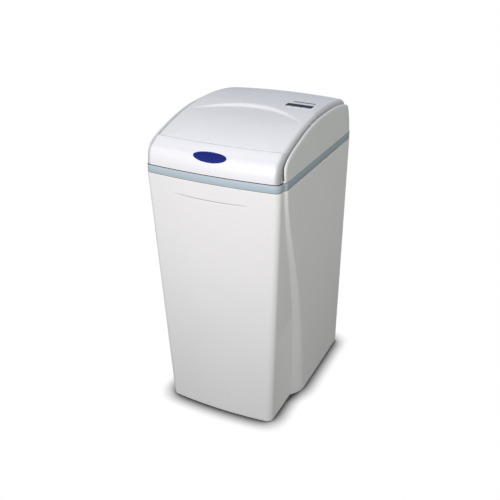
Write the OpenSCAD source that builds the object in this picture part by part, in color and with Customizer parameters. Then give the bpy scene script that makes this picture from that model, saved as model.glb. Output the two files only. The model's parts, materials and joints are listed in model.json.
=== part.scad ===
// Compact cabinet water softener, millimetres.
// +Z is up, -Y is the front, +X is the viewer's right. The origin is the middle of the base.

/* [Cabinet] */
// Width across the straight rear sides
body_w = 379; // [340:1:420]
// Depth from the front centre to the back
body_d = 490; // [450:1:540]
// Height of the cabinet rim, where the band sits
rim_z = 694; // [660:1:740]
// Thickness of the cabinet wall
wall = 3.5; // [2.5:0.5:5]
// Thickness of the cabinet floor
floor_t = 5; // [4:0.5:8]
// Width of the front section at the rim
front_w_rim = 366; // [350:1:372]
// Width of the front section at the floor
front_w_floor = 319; // [300:1:335]
// How far the front face bows out at its centre
front_bow = 10; // [4:1:16]
// How far the front face leans back at the floor
front_rake = 12; // [0:1:20]
// Radius of the front corners at the rim
front_corner_r = 15; // [10:1:22]
// Radius of the front corners at the floor
floor_corner_r = 19; // [12:1:30]
// How far each side draws in towards the floor
side_draft = 6; // [0:0.5:9]
// Radius of the rear corners
rear_corner_r = 9; // [6:1:14]
// How far the side ridge swoops back between rim and floor
ridge_run = 124; // [100:1:160]
// Height over which the ridge makes most of its swoop
ridge_fall = 310; // [220:5:340]
// Length of the ridge step at the rim
step_rim = 7; // [4:1:10]
// Length of the ridge step at the floor
step_floor = 50; // [30:1:60]

/* [Rim band] */
// Height of the grey band
band_h = 22; // [16:1:30]
// Width of the band's ring
band_ring_w = 9; // [7:1:12]

/* [Top cover] */
// Thickness of the side panels
fin_t = 8; // [5:0.5:10]
// Height of the panels' rolled edge
fin_roll = 8; // [4:0.5:12]
// Thickness of the cover's back wall
back_t = 5; // [4:0.5:6]
// How far the side panels lean in over their height
fin_draft = 3.5; // [0:0.5:6]
// Height of the side panels above the band
fin_rise = 100; // [84:1:108]
// Thickness of the deck
deck_t = 3; // [2.5:0.5:5]
// Width of the salt opening in the deck
salt_w = 296; // [240:2:310]
// Length of the salt opening in the deck
salt_l = 196; // [150:2:200]
// Width of the opening for the valve in the deck
valve_open_w = 250; // [220:2:280]
// Width of the pipe opening in the back
pipe_open_w = 250; // [240:2:280]
// Height of the pipe opening in the back
pipe_open_h = 56; // [50:1:62]
// Thickness of the partition behind the lid
partition_t = 2.5; // [2:0.5:4]

/* [Lid and rear cover] */
// Thickness of the lid and the rear cover
lid_wall = 2.8; // [2:0.2:3.6]
// Gap between the lid and the side panels
lid_gap = 1.5; // [1:0.1:2.5]
// Gap between the lid and the rear cover
seam_gap = 2.4; // [2.2:0.1:3]
// Radius of the lid's rolled edges
edge_r = 13; // [9:0.5:15]
// Depth of the lid's side skirts
skirt_h = 24; // [18:1:28]
// Height of the lid's sloping face where it ends, above the band
facet_h = 99; // [90:1:106]
// Height of the dome's highest place above the band
dome_h = 108; // [102:0.5:114]
// How much lower the dome is at its sides
crown = 2; // [1:0.5:5]
// Radius of the lid's hinge pins
lid_pin_r = 2.5; // [2:0.25:3]

/* [Display] */
// Length of the display window
lcd_w = 73; // [60:1:80]
// Height of the display window
lcd_h = 24; // [16:1:26]
// Radius of a key's cap
key_r = 2.6; // [2.2:0.1:3]
// Travel of a key
key_travel = 0.8; // [0.5:0.1:1.2]

/* [Resin tank] */
// Outer radius of the resin tank
tank_r = 102; // [90:1:106]
// Wall of the resin tank
tank_wall = 3; // [2:0.5:5]
// Radius of the tank's neck
neck_r = 38; // [34:1:42]
// Outer radius of the riser tube
riser_r = 13.5; // [11:0.5:16]

/* [Valve] */
// Radius of the valve body
valve_r = 50; // [47:1:52]
// Outer radius of the water ports
port_r = 16; // [14:1:18]
// Bore of the water ports
port_bore_r = 11; // [9:0.5:12]
// Distance between the water ports
port_pitch = 80; // [70:1:86]
// Number of teeth on the drive gear
gear_teeth = 56; // [48:4:56]
// Number of teeth on the motor pinion
pinion_teeth = 14; // [12:2:16]
// Gear module
gear_module = 1.5; // [1.4:0.1:1.5]
// Width of the gear's teeth
gear_w = 8; // [6:1:9]
// Radius of the bypass stem
stem_r = 10; // [8:0.5:12]
// Travel of the bypass stem
stem_travel = 22; // [16:1:24]
// Radius of the copper tube that each adaptor takes
tube_r = 11.1; // [10:0.1:12]

/* [Brine well] */
// Outer radius of the brine well
well_r = 48; // [42:1:52]
// Wall of the brine well
well_wall = 2.5; // [2:0.5:3.5]
// Height of the brine well
well_h = 630; // [560:5:640]
// Radius of the brine pipe
brine_r = 6; // [5:0.5:7]
// Radius of the float
float_r = 22; // [18:1:26]
// Height of the float
float_h = 36; // [30:1:44]
// Rise of the float
float_travel = 30; // [20:1:40]

/* [Hidden] */
$fn = 64;

// Fits
run_gap = 0.05;
press_gap = 0.05;
seat_gap = 0.3;
eps = 0.01;

// Levels and places that follow from the sizes above
rim_top = rim_z + band_h;
deck_top = rim_top + deck_t;
half_w = body_w / 2;
half_d = body_d / 2;
fin_top = rim_top + fin_rise;
facet_z = rim_top + facet_h;
dome_z = rim_top + dome_h;
lid_half = half_w - fin_t - lid_gap;
crease_y = -half_d + 47;
crease_z = facet_z - 36;
seam_mid_y = 31;
seam_side_y = 8;
cover_back_y = half_d - 9;
cover_corner_r = 26;
facet_end_y = 20;
dome_mid_y = 70;
dome_back = 156;
dome_fall = 12.5;
corner_fall = 5;
crescent_half = 150;
crescent_mid_y = 8;
crescent_tip_y = -52;
crescent_run = 19;
lid_pin_y = -30;
lid_pin_z = fin_top - 11;

// Easing and curves
function lerp(a, b, t) = a + (b - a) * t;
function ease(t) = let (u = min(1, max(0, t))) u * u * (3 - 2 * u);
function spline_point(p, k, t) =
    let (a = p[max(k - 1, 0)], b = p[k], c = p[k + 1], d = p[min(k + 2, len(p) - 1)])
    0.5 * (2 * b + (c - a) * t + (2 * a - 5 * b + 4 * c - d) * t * t
        + (3 * b - a - 3 * c + d) * t * t * t);
function spline(p, n) = concat(
    [for (k = [0:len(p) - 2], i = [0:n - 1]) spline_point(p, k, i / n)], [p[len(p) - 1]]);
function unit(v) = v / norm(v);
function tangent(p, i) = unit(p[min(i + 1, len(p) - 1)] - p[max(i - 1, 0)]);

// Plan of the cabinet at height z, pulled in by inset, from the front centre round to the back
function front_half(z) = lerp(front_w_floor, front_w_rim, z / rim_z) / 2;
function front_y(z) = -half_d + front_rake * (1 - z / rim_z);
function side_half(z) = half_w - side_draft * (1 - z / rim_z);
function ridge_start_y() = -half_d + front_bow + front_corner_r + 10.5;
function ridge_y(z) = ridge_start_y() + ridge_run * (1 - exp(-pow((rim_z - z) / ridge_fall, 1.67)));
function step_len(z) = lerp(step_floor, step_rim, pow(z / rim_z, 0.75));
function step_out(t) = 1 - pow(1 - t, 2);
function half_plan(z, inset) =
    let (
        hw = front_half(z) - inset,
        side = side_half(z) - inset,
        rc = lerp(floor_corner_r, front_corner_r, z / rim_z) - inset * 0.6,
        rr = rear_corner_r - inset * 0.6,
        yf = front_y(z) + inset,
        yc = yf + front_bow * pow((hw - rc) / hw, 2) + rc,
        yi = ridge_y(z),
        yr = yi + step_len(z),
        yb = half_d - inset
    )
    concat(
        [for (i = [0:5]) let (x = (hw - rc) * i / 6) [x, yf + front_bow * pow(x / hw, 2)]],
        [for (i = [0:5]) [hw - rc + rc * sin(18 * i), yc - rc * cos(18 * i)]],
        [for (i = [0:6]) [lerp(hw, side, step_out(i / 6)), lerp(yi, yr, i / 6)]],
        [for (i = [0:4]) [side - rr + rr * cos(22.5 * i), yb - rr + rr * sin(22.5 * i)]],
        [[side / 2, yb]]
    );
function mirrored(h) = concat(
    h, [[0, h[len(h) - 1][1]]],
    [for (i = [len(h) - 1:-1:1]) [-h[i][0], h[i][1]]]);
function plan(z, inset = 0) = mirrored(half_plan(z, inset));
function plan_ring(z, inset = 0) = [for (p = plan(z, inset)) [p[0], p[1], z]];

// Height of the dome, and of the lid's top with its sloping face cut into the dome
function lid_edge_x(z) = lid_half - fin_draft * (z - rim_top) / fin_rise;
function dome(x, y) =
    let (u = pow(x / lid_half, 2), v = pow((y - dome_mid_y) / dome_back, 2))
    dome_z - dome_fall * v - (crown + corner_fall * v) * u;
function facet(y) =
    facet_z - (facet_z - crease_z) * pow(max(0, (facet_end_y - y) / (facet_end_y - crease_y)), 2.4);
function crescent(x, y) =
    let (
        k = pow(x / crescent_half, 2),
        low = lerp(crescent_mid_y, crescent_tip_y, k),
        run = max(4, crescent_run * (1 - k))
    )
    1 - ease((y - low) / run);
function lid_top(x, y, slide) =
    let (d = dome(x, y), f = facet(y - slide))
    d - crescent(x, y) * max(0, d - f);
function seam_y(x) = lerp(seam_mid_y, seam_side_y, pow(x / lid_half, 2));

// A closed skin over a stack of rings, with the two ends closed as told
module skin(rings, ends) {
    n = len(rings[0]);
    m = len(rings);
    last = (m - 1) * n;
    sides = [for (j = [0:m - 2], i = [0:n - 1])
        let (a = j * n + i, b = j * n + (i + 1) % n)
        each [[a, a + n, b + n], [a, b + n, b]]];
    fan = [for (i = [0:n - 1]) let (b = (i + 1) % n)
        each [[i, b, m * n], [last + b, last + i, m * n + 1]]];
    strip = [for (i = [0:n / 2 - 2])
        each [
            [i, i + 1, n - 2 - i], [i, n - 2 - i, n - 1 - i],
            [last + i + 1, last + i, last + n - 2 - i], [last + n - 2 - i, last + i, last + n - 1 - i]
        ]];
    mids = [[0, 0, rings[0][0][2]], [0, 0, rings[m - 1][0][2]]];
    rows = [for (r = rings) each r];
    if (ends == "fan") polyhedron(concat(rows, mids), concat(sides, fan));
    else polyhedron(rows, concat(sides, strip));
}

// Columns across a covering shell: share of the flat, of the edge radius, of its drop, of the skirt
half_columns = concat(
    [for (i = [0:6]) [i / 6, 0, 0, 0]],
    [for (i = [1:4]) [1, sin(22.5 * i), 1 - cos(22.5 * i), 0]],
    [[1, 1, 1, 1]]);
columns = concat(
    [for (i = [len(half_columns) - 1:-1:1]) concat(half_columns[i], [-1])],
    [for (c = half_columns) concat(c, [1])]);

// One point of a covering shell: c is the column, w the depth below the outer face
function shell_x(c, z, w) =
    c[4] * (c[0] * (lid_edge_x(z) - edge_r) + c[1] * (edge_r - w));
function shell_drop(c, w, skirt) = w + c[2] * (edge_r - w) + c[3] * (skirt - edge_r);

// Stations of the salt lid, from its front lower edge to the seam
lid_front = spline([
    [-half_d + 0.3, rim_top + 0.4], [-half_d + 1.5, rim_top + 16], [-half_d + 5.5, rim_top + 31],
    [-half_d + 12.5, rim_top + 42.5], [-half_d + 24, crease_z - 13], [-half_d + 36, crease_z - 5.6],
    [crease_y, crease_z]], 2);
lid_steps = 14;
function outward(p, i) = let (t = i == 0 ? [0, 1] : tangent(p, i)) [-t[1], t[0]];
function lid_front_point(i, c, w) =
    let (
        p = lid_front[i],
        n = outward(lid_front, i),
        x = shell_x(c, p[1], w),
        d = shell_drop(c, w, skirt_h)
    )
    [x, p[0] + front_bow * pow(x / lid_half, 2) - n[0] * d, p[1] - n[1] * d];
function lid_top_point(t, c, w) =
    let (
        x = shell_x(c, facet(lerp(crease_y, seam_side_y, t)), w),
        bow = front_bow * pow(x / lid_half, 2),
        y = lerp(crease_y + bow, seam_y(x), t),
        n = unit(lerp(outward(lid_front, len(lid_front) - 1), [0, 1], min(1, t * 6))),
        d = shell_drop(c, w, skirt_h)
    )
    [x, y - n[0] * d, lid_top(x, y, bow * (1 - t)) - n[1] * d];
function both_faces(outer, inner) = concat(outer, [for (i = [len(inner) - 1:-1:0]) inner[i]]);
lid_rings = concat(
    [for (i = [0:len(lid_front) - 2]) both_faces(
        [for (c = columns) lid_front_point(i, c, 0)],
        [for (c = columns) lid_front_point(i, c, lid_wall)])],
    [for (k = [0:lid_steps]) both_faces(
        [for (c = columns) lid_top_point(k / lid_steps, c, 0)],
        [for (c = columns) lid_top_point(k / lid_steps, c, lid_wall)])]);

// Stations of the rear cover, from the seam over the dome and down its back
cover_skirt = skirt_h + 16;
cover_steps = 9;
function cover_point(t, turn, low, c, w) =
    let (
        r = edge_r - w,
        back = lerp(seam_mid_y, cover_back_y - edge_r, t) + r * sin(turn),
        far = max(0, back - cover_back_y + cover_corner_r),
        pull = cover_corner_r - sqrt(max(0, pow(cover_corner_r, 2) - far * far)),
        x = c[4] * (c[0] * (lid_edge_x(dome_z) - edge_r - pull) + c[1] * r * cos(turn)),
        y = lerp(seam_y(x) + seam_gap, cover_back_y - edge_r, t) + r * sin(turn),
        roll = low ? 1 : 1 - cos(turn) * (1 - c[2]),
        fall = low ? 1 : c[3]
    )
    [x, y, dome(x, y) - w - r * roll - fall * (cover_skirt - edge_r)];
function cover_ring(t, turn, low) = both_faces(
    [for (c = columns) cover_point(t, turn, low, c, 0)],
    [for (c = columns) cover_point(t, turn, low, c, lid_wall)]);
cover_rings = concat(
    [for (k = [0:cover_steps]) cover_ring(k / cover_steps, 0, false)],
    [for (k = [1:4]) cover_ring(1, 21 * k, false)],
    [cover_ring(1, 84, true)]);

// Top edge of a side panel as shares of the half depth and of the panel's rise
fin_edge = spline([
    for (p = [
        [-0.869, 0.01], [-0.876, 0.19], [-0.863, 0.35], [-0.816, 0.47], [-0.727, 0.575], [-0.584, 0.69],
        [-0.335, 0.85], [-0.069, 0.95], [0.143, 0.975], [0.367, 0.975], [0.571, 0.945], [0.735, 0.885],
        [0.862, 0.805], [0.902, 0.755], [0.923, 0.67], [0.944, 0.5], [0.962, 0.3], [0.985, 0.08]])
    [p[0] * half_d, rim_top + p[1] * fin_rise]], 3);
function corner_in(y) =
    let (over = max(0, y - half_d + rear_corner_r))
    rear_corner_r - sqrt(max(0, pow(rear_corner_r, 2) - over * over));
function fin_x(y, z) = half_w - fin_draft * (z - rim_top) / fin_rise - corner_in(y);
function fin_ring(i) =
    let (
        p = fin_edge[i],
        n = outward(fin_edge, i),
        r = fin_t / 2,
        mid = [p[0] - n[0] * fin_roll, p[1] - n[1] * fin_roll],
        x = fin_x(p[0], p[1]) - r,
        base = lerp(fin_edge[0][0] + fin_t, half_d, i / (len(fin_edge) - 1))
    )
    concat(
        [[fin_x(base, rim_top) - fin_t, base, rim_top]],
        [for (k = [0:7]) let (a = 180 - 180 * k / 7, up = fin_roll * sin(a))
            [x + r * cos(a), mid[0] + n[0] * up, mid[1] + n[1] * up]],
        [[fin_x(base, rim_top), base, rim_top]]);

// Levels of the cabinet's outer and inner rings, closer together where the ridge bends most
level_shares = [0.004, 0.1, 0.2, 0.3, 0.4, 0.5, 0.58, 0.65, 0.71, 0.77, 0.82, 0.87, 0.91, 0.95, 1];
cabinet_levels = [for (t = level_shares) t * rim_z];
inner_levels = [for (t = [1, 0.87, 0.74, 0.6, 0.45, 0.3, 0.15]) t * rim_z];

// Display and keys on the rear cover
lcd_x = half_w - 79.5;
lcd_y = 51.5;
key_y = 34.4;
lcd_margin = 1;
key_xs = [for (i = [0:3]) lcd_x - 31.5 + 21 * i];
board_w = 104;
board_d = 56;
board_t = 1.6;
board_z = dome_z - 28;
board_x = lcd_x - board_w / 2;
board_y = key_y - key_r;
board_hole_r = 1.6;
board_boss_r = 4;
key_foot_z = board_z + board_t + 6;
panel_t = 0.8;
panel_margin = 10;

// Low-voltage inlet in the back of the top cover
inlet_x = -half_w + 41.5;
inlet_z = rim_top + 28;
inlet_r = 5.5;

// Overflow outlet in the back of the cabinet
overflow_x = half_w - 79.5;
overflow_z = rim_z - 70;
overflow_r = 13;

module at_back(x, z) {
    translate([x, half_d, z]) rotate([-90, 0, 0]) children();
}

module cabinet() {
    color("white") difference() {
        skin(concat(
            [[for (p = plan(0, 2)) [p[0], p[1], 0]]],
            [for (z = cabinet_levels) plan_ring(z)],
            [for (z = inner_levels) plan_ring(z, wall)],
            [plan_ring(floor_t, wall)]), "fan");
        at_back(overflow_x, overflow_z)
            translate([0, 0, -wall - 1]) cylinder(r = overflow_r, h = wall + 2);
    }
}

module rim_band() {
    color("slategray") translate([0, 0, rim_z]) linear_extrude(band_h) difference() {
        polygon(plan(rim_z));
        polygon(plan(rim_z, band_ring_w));
    }
}

// Openings of the deck
salt_front_y = -half_d + band_ring_w + 22;
valve_open_front_y = salt_front_y + salt_l + 28;
partition_y = 54;
partition_half = lid_edge_x(dome_z) - lid_wall - lid_gap;

// Least width of deck beside the salt opening
deck_ledge = 4;
module deck_plan() {
    front_in = lid_edge_x(rim_top) - lid_wall - 4;
    front_edge = -half_d + band_ring_w;
    back = half_d - back_t / 2;
    side = half_w - fin_t / 2;
    corner = ridge_start_y() + 10;
    nose = max(front_in - 12, salt_w / 2 + deck_ledge);
    difference() {
        polygon([
            [-front_in, corner], [-nose, front_edge + front_bow], [0, front_edge],
            [nose, front_edge + front_bow], [front_in, corner], [side, corner],
            [side, back - rear_corner_r], [side - rear_corner_r, back], [-side + rear_corner_r, back],
            [-side, back - rear_corner_r], [-side, corner]]);
        translate([-salt_w / 2, salt_front_y]) square([salt_w, salt_l]);
        translate([-valve_open_w / 2, valve_open_front_y])
            square([valve_open_w, half_d - 26 - valve_open_front_y]);
    }
}

module fin() {
    difference() {
        skin([for (i = [0:len(fin_edge) - 1]) fin_ring(i)], "strip");
        lid_pin_axis(pin_in_x, pin_out_x, lid_pin_r + press_gap);
    }
}

// The lid's pins run from inside its ears to halfway into the side panels
pin_in_x = lid_edge_x(lid_pin_z) - lid_wall - 9;
pin_out_x = fin_x(0, lid_pin_z) - 2.5;

module lid_pin_axis(x0, x1, r) {
    translate([x0, lid_pin_y, lid_pin_z]) rotate([0, 90, 0]) cylinder(r = r, h = x1 - x0);
}

module top_cover() {
    color("white") union() {
        fin();
        mirror([1, 0, 0]) fin();
        translate([0, 0, rim_top + eps]) linear_extrude(deck_t - eps) deck_plan();
        difference() {
            back_half = half_w - rear_corner_r + 1.5;
            back_h = 0.66 * fin_rise;
            translate([0, half_d - 0.4, rim_top + 0.5]) rotate([90, 0, 0]) linear_extrude(back_t - 0.8)
                polygon([
                    [-back_half, 0], [back_half, 0], [back_half, 0.15 * back_h], [back_half - 26, back_h],
                    [26 - back_half, back_h], [-back_half, 0.15 * back_h]]);
            translate([-pipe_open_w / 2, half_d - back_t - 1, deck_top])
                cube([pipe_open_w, back_t + 2, pipe_open_h]);
            at_back(inlet_x, inlet_z) translate([0, 0, -back_t - 1])
                cylinder(r = inlet_r, h = back_t + 2);
        }
        translate([-partition_half, partition_y, rim_top + 1])
            cube([2 * partition_half, partition_t, 0.74 * fin_rise]);
    }
}

// The rear cover stands on four posts
post_r = 6;
post_x = valve_open_w / 2 + 18;
post_ys = [board_y + board_d + 12, cover_back_y - 24];
module rear_cover() {
    color("gainsboro") difference() {
        union() {
            skin(cover_rings, "strip");
            for (s = [-1, 1], y = post_ys) translate([s * post_x, y, deck_top])
                cylinder(r = post_r, h = dome(post_x, y) - lid_wall / 2 - deck_top);
            for (p = board_corners) translate([p[0], p[1], board_z + board_t])
                cylinder(r = board_boss_r, h = dome(p[0], p[1]) - lid_wall / 2 - board_z - board_t);
        }
        for (p = board_corners) translate([p[0], p[1], board_z])
            cylinder(r = board_hole_r, h = board_t + 8);
        translate([lcd_x - lcd_w / 2 - lcd_margin, lcd_y - lcd_h / 2 - lcd_margin, board_z])
            cube([lcd_w + 2 * lcd_margin, lcd_h + 2 * lcd_margin, 60]);
        for (x = key_xs) translate([x, key_y, dome_z - 20]) cylinder(r = key_r + seat_gap, h = 60);
    }
}

module salt_lid() {
    ear_out = lid_edge_x(lid_pin_z) - lid_wall + 0.6;
    color("white") difference() {
        union() {
            skin(lid_rings, "strip");
            for (s = [0, 1]) mirror([s, 0, 0]) lid_pin_axis(pin_in_x + 1, ear_out, lid_pin_r + 1.7);
        }
        for (s = [0, 1]) mirror([s, 0, 0])
            lid_pin_axis(pin_in_x - 1, ear_out + 4, lid_pin_r + run_gap);
    }
}

module lid_hinge_pins() {
    color("lightgray") for (s = [0, 1]) mirror([s, 0, 0])
        lid_pin_axis(pin_in_x, pin_out_x - press_gap, lid_pin_r);
}

// A sheet that lies on the dome between two depths, over a rectangle
module dome_sheet(x0, x1, y0, y1, low, high) {
    steps = 8;
    xs = [for (i = [0:steps]) lerp(x0, x1, i / steps)];
    rings = [for (j = [0:steps]) let (y = lerp(y0, y1, j / steps)) both_faces(
        [for (x = xs) [x, y, dome(x, y) + high]], [for (x = xs) [x, y, dome(x, y) + low]])];
    skin(rings, "strip");
}

// The badge lies on the lid's rounded front: rings of an oval, measured along the profile
badge_w = 89;
badge_h = 28;
badge_t = 1.4;
badge_s = 44;
front_fine = spline([for (i = [0:2:len(lid_front) - 1]) lid_front[i]], 6);
front_run = [for (i = 0, s = 0; i < len(front_fine); i = i + 1,
    s = s + (i < len(front_fine) ? norm(front_fine[i] - front_fine[i - 1]) : 0)) s];
function front_at(s) = [
    lookup(s, [for (i = [0:len(front_fine) - 1]) [front_run[i], front_fine[i][0]]]),
    lookup(s, [for (i = [0:len(front_fine) - 1]) [front_run[i], front_fine[i][1]]])];
function front_out(s) = let (t = unit(front_at(s + 2) - front_at(s - 2))) [-t[1], t[0]];
function badge_point(x, s, d) =
    let (p = front_at(s), n = front_out(s))
    [x, p[0] + front_bow * pow(x / lid_half, 2) + n[0] * d, p[1] + n[1] * d];
function badge_ring(share, d) = [for (a = [0:9:351])
    badge_point(badge_w / 2 * share * cos(a), badge_s + badge_h / 2 * share * sin(a), d)];

module badge() {
    rings = [badge_ring(0.02, seat_gap), badge_ring(0.5, seat_gap), badge_ring(1, seat_gap),
        badge_ring(1, badge_t * 0.7), badge_ring(0.96, badge_t), badge_ring(0.5, badge_t),
        badge_ring(0.02, badge_t)];
    n = len(rings[0]);
    m = len(rings);
    sides = [for (j = [0:m - 2], i = [0:n - 1])
        let (a = j * n + i, b = j * n + (i + 1) % n)
        each [[a, b + n, a + n], [a, b, b + n]]];
    first = [for (i = [n - 1:-1:0]) i];
    last = [for (i = [0:n - 1]) (m - 1) * n + i];
    color("navy") polyhedron([for (r = rings) each r], concat(sides, [first, last]));
}

module display_panel() {
    color("whitesmoke") difference() {
        dome_sheet(lcd_x - lcd_w / 2 - panel_margin, lcd_x + lcd_w / 2 + panel_margin,
            key_y - key_r - 1.2, lcd_y + lcd_h / 2 + 2.5 * panel_margin, 0.1, panel_t);
        translate([lcd_x - lcd_w / 2 - seat_gap, lcd_y - lcd_h / 2 - seat_gap, dome_z - 20])
            cube([lcd_w + 2 * seat_gap, lcd_h + 2 * seat_gap, 60]);
        for (x = key_xs) translate([x, key_y, dome_z - 20]) cylinder(r = key_r + seat_gap, h = 60);
    }
}

module display_window() {
    color("darkslategray") dome_sheet(lcd_x - lcd_w / 2, lcd_x + lcd_w / 2,
        lcd_y - lcd_h / 2, lcd_y + lcd_h / 2, -lid_wall + 0.5, 0.4);
}

module display_module() {
    low_corner = min(dome(lcd_x + lcd_w / 2, lcd_y), dome(lcd_x + lcd_w / 2, lcd_y - lcd_h / 2));
    color("dimgray") translate([lcd_x - lcd_w / 2, lcd_y - lcd_h / 2, board_z + board_t])
        cube([lcd_w, lcd_h, low_corner - lid_wall + 0.2 - board_z - board_t]);
}

module key(i) {
    x = key_xs[i];
    top = dome(x, key_y) + panel_t + key_travel + 0.4;
    color("lightsteelblue") {
        translate([x, key_y, key_foot_z]) cylinder(r = key_r - 1, h = top - key_foot_z - 2);
        translate([x, key_y, top - 8]) cylinder(r = key_r, h = 7.2);
        translate([x, key_y, top - 0.9]) cylinder(r = key_r - 0.6, h = 0.9);
    }
}
module select_key() { key(0); }
module up_key() { key(1); }
module down_key() { key(2); }
module recharge_key() { key(3); }

board_corners = [for (sx = [0, 1], sy = [0, 1])
    [board_x + 5 + sx * (board_w - 10), board_y + 16 + sy * (board_d - 21)]];
module control_board() {
    color("darkgreen") difference() {
        union() {
            translate([board_x, board_y, board_z]) cube([board_w, board_d, board_t]);
            for (x = key_xs) translate([x, key_y, board_z + board_t - eps])
                cylinder(r = 3, h = key_foot_z - key_travel - 0.1 - board_z - board_t);
            translate([lcd_x - 20, lcd_y + lcd_h / 2 + 4, board_z + board_t - eps]) cube([14, 14, 2.2]);
            translate([lcd_x + 14, lcd_y + lcd_h / 2 + 4, board_z + board_t - eps]) cube([22, 9, 7]);
        }
        for (p = board_corners) translate([p[0], p[1], board_z - 1])
            cylinder(r = board_hole_r, h = board_t + 2);
    }
}
module board_screws() {
    color("silver") for (p = board_corners) translate([p[0], p[1], board_z]) {
        translate([0, 0, -1.8]) cylinder(r = 2.8, h = 1.8);
        cylinder(r = board_hole_r - press_gap, h = board_t + 7);
    }
}

// Resin tank and what it holds
tank_y = half_d - wall - 8 - tank_r;
bypass_r = 21;
port_z = deck_top + 3 + bypass_r;
tank_low = floor_t + 8;
tank_top = port_z - 75;
dome_low = 50;
neck_h = 25;
dome_up = 55;
neck_bore_r = neck_r - 6;
function tank_profile(w) = concat(
    [for (a = [0:10:90]) [(tank_r - w) * sin(a), tank_low + dome_low - (dome_low - w) * cos(a)]],
    [for (a = [0:10:90]) [
        lerp(w > 0 ? neck_bore_r : neck_r, tank_r - w, cos(a)),
        tank_top - neck_h - dome_up + (dome_up - w) * sin(a)]]);
module at_tank() {
    translate([0, tank_y, 0]) children();
}
module resin_tank() {
    outer = tank_profile(0);
    inner = tank_profile(tank_wall);
    color("steelblue") at_tank() rotate_extrude() polygon(concat(
        outer, [[neck_r, tank_top], [neck_bore_r, tank_top]],
        [for (i = [len(inner) - 1:-1:0]) inner[i]]));
}
module tank_foot() {
    color("black") at_tank() rotate_extrude() polygon(concat(
        [[tank_r + 4, floor_t], [tank_r + 4, floor_t + 46], [tank_r + seat_gap, floor_t + 46]],
        [for (a = [70:-10:0]) [
            (tank_r + seat_gap) * sin(a), tank_low - seat_gap + dome_low - dome_low * cos(a)]],
        [[0, floor_t]]));
}
basket_r = 22;
basket_h = 46;
basket_z = tank_low + tank_wall + 1.8;
bed_top = lerp(tank_low, tank_top, 0.7);
module resin_bed() {
    w = tank_wall + seat_gap;
    color("goldenrod") at_tank() difference() {
        rotate_extrude() polygon(concat(
            [for (a = [0:10:90]) [(tank_r - w) * sin(a), tank_low + dome_low - (dome_low - w) * cos(a)]],
            [[tank_r - w, bed_top], [0, bed_top]]));
        cylinder(r = riser_r + seat_gap, h = rim_top);
        cylinder(r = basket_r + seat_gap, h = basket_z + basket_h + seat_gap);
    }
}
module riser_tube() {
    low = basket_z + basket_h - 10;
    color("white") at_tank() translate([0, 0, low]) difference() {
        cylinder(r = riser_r, h = tank_top + 22 - low);
        translate([0, 0, -1]) cylinder(r = riser_r - 2, h = rim_top);
    }
}
module bottom_basket() {
    slots = 12;
    color("whitesmoke") at_tank() translate([0, 0, basket_z]) difference() {
        cylinder(r = basket_r, h = basket_h);
        translate([0, 0, 2]) cylinder(r = basket_r - 2, h = basket_h - 14);
        translate([0, 0, basket_h - 13]) cylinder(r = riser_r + press_gap, h = 20);
        for (i = [0:slots - 1]) rotate([0, 0, 360 / slots * i])
            translate([basket_r - 4, -0.6, 6]) cube([8, 1.2, basket_h - 22]);
    }
}
module top_basket() {
    slots = 12;
    h = 38;
    color("whitesmoke") at_tank() translate([0, 0, tank_top - h]) difference() {
        cylinder(r = neck_bore_r - 4, h = h);
        translate([0, 0, 2]) cylinder(r = neck_bore_r - 6, h = h);
        translate([0, 0, -1]) cylinder(r = riser_r + press_gap, h = h);
        for (i = [0:slots - 1]) rotate([0, 0, 360 / slots * i])
            translate([neck_bore_r - 9, -0.6, 6]) cube([8, 1.2, h - 14]);
    }
}

// Control valve on the tank's neck
valve_top = port_z + port_r;
valve_foot_h = 10;
clamp_r = neck_r + 6;
chamber_r = valve_r - 10;
chamber_h = 16;
cover_t = 7;
shaft_r = 8;
cover_screw_ring = valve_r - 5;
cover_screw_n = 8;
cover_screw_r = 2;
byp_y = half_d - 7;
port_start_y = tank_y + 32;
port_end_y = byp_y - bypass_r - 12;
nozzle_x = -valve_r - 26;
nozzle_r = 22;
nozzle_low = port_z - 42;
nozzle_top = port_z - 12;
nozzle_bore_r = 17;
nozzle_bore_h = 14;
line_r = 4.8;
drain_z = port_z - 2;
drain_r = 8;
module along_y(x, y, z, r, h) {
    translate([x, y, z]) rotate([-90, 0, 0]) cylinder(r = r, h = h);
}
module along_x(x, y, z, r, h) {
    translate([x, y, z]) rotate([0, 90, 0]) cylinder(r = r, h = h);
}
module on_screw_ring() {
    for (i = [0:cover_screw_n - 1]) at_tank() rotate([0, 0, 360 / cover_screw_n * (i + 0.5)])
        translate([cover_screw_ring, 0, 0]) children();
}
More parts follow.
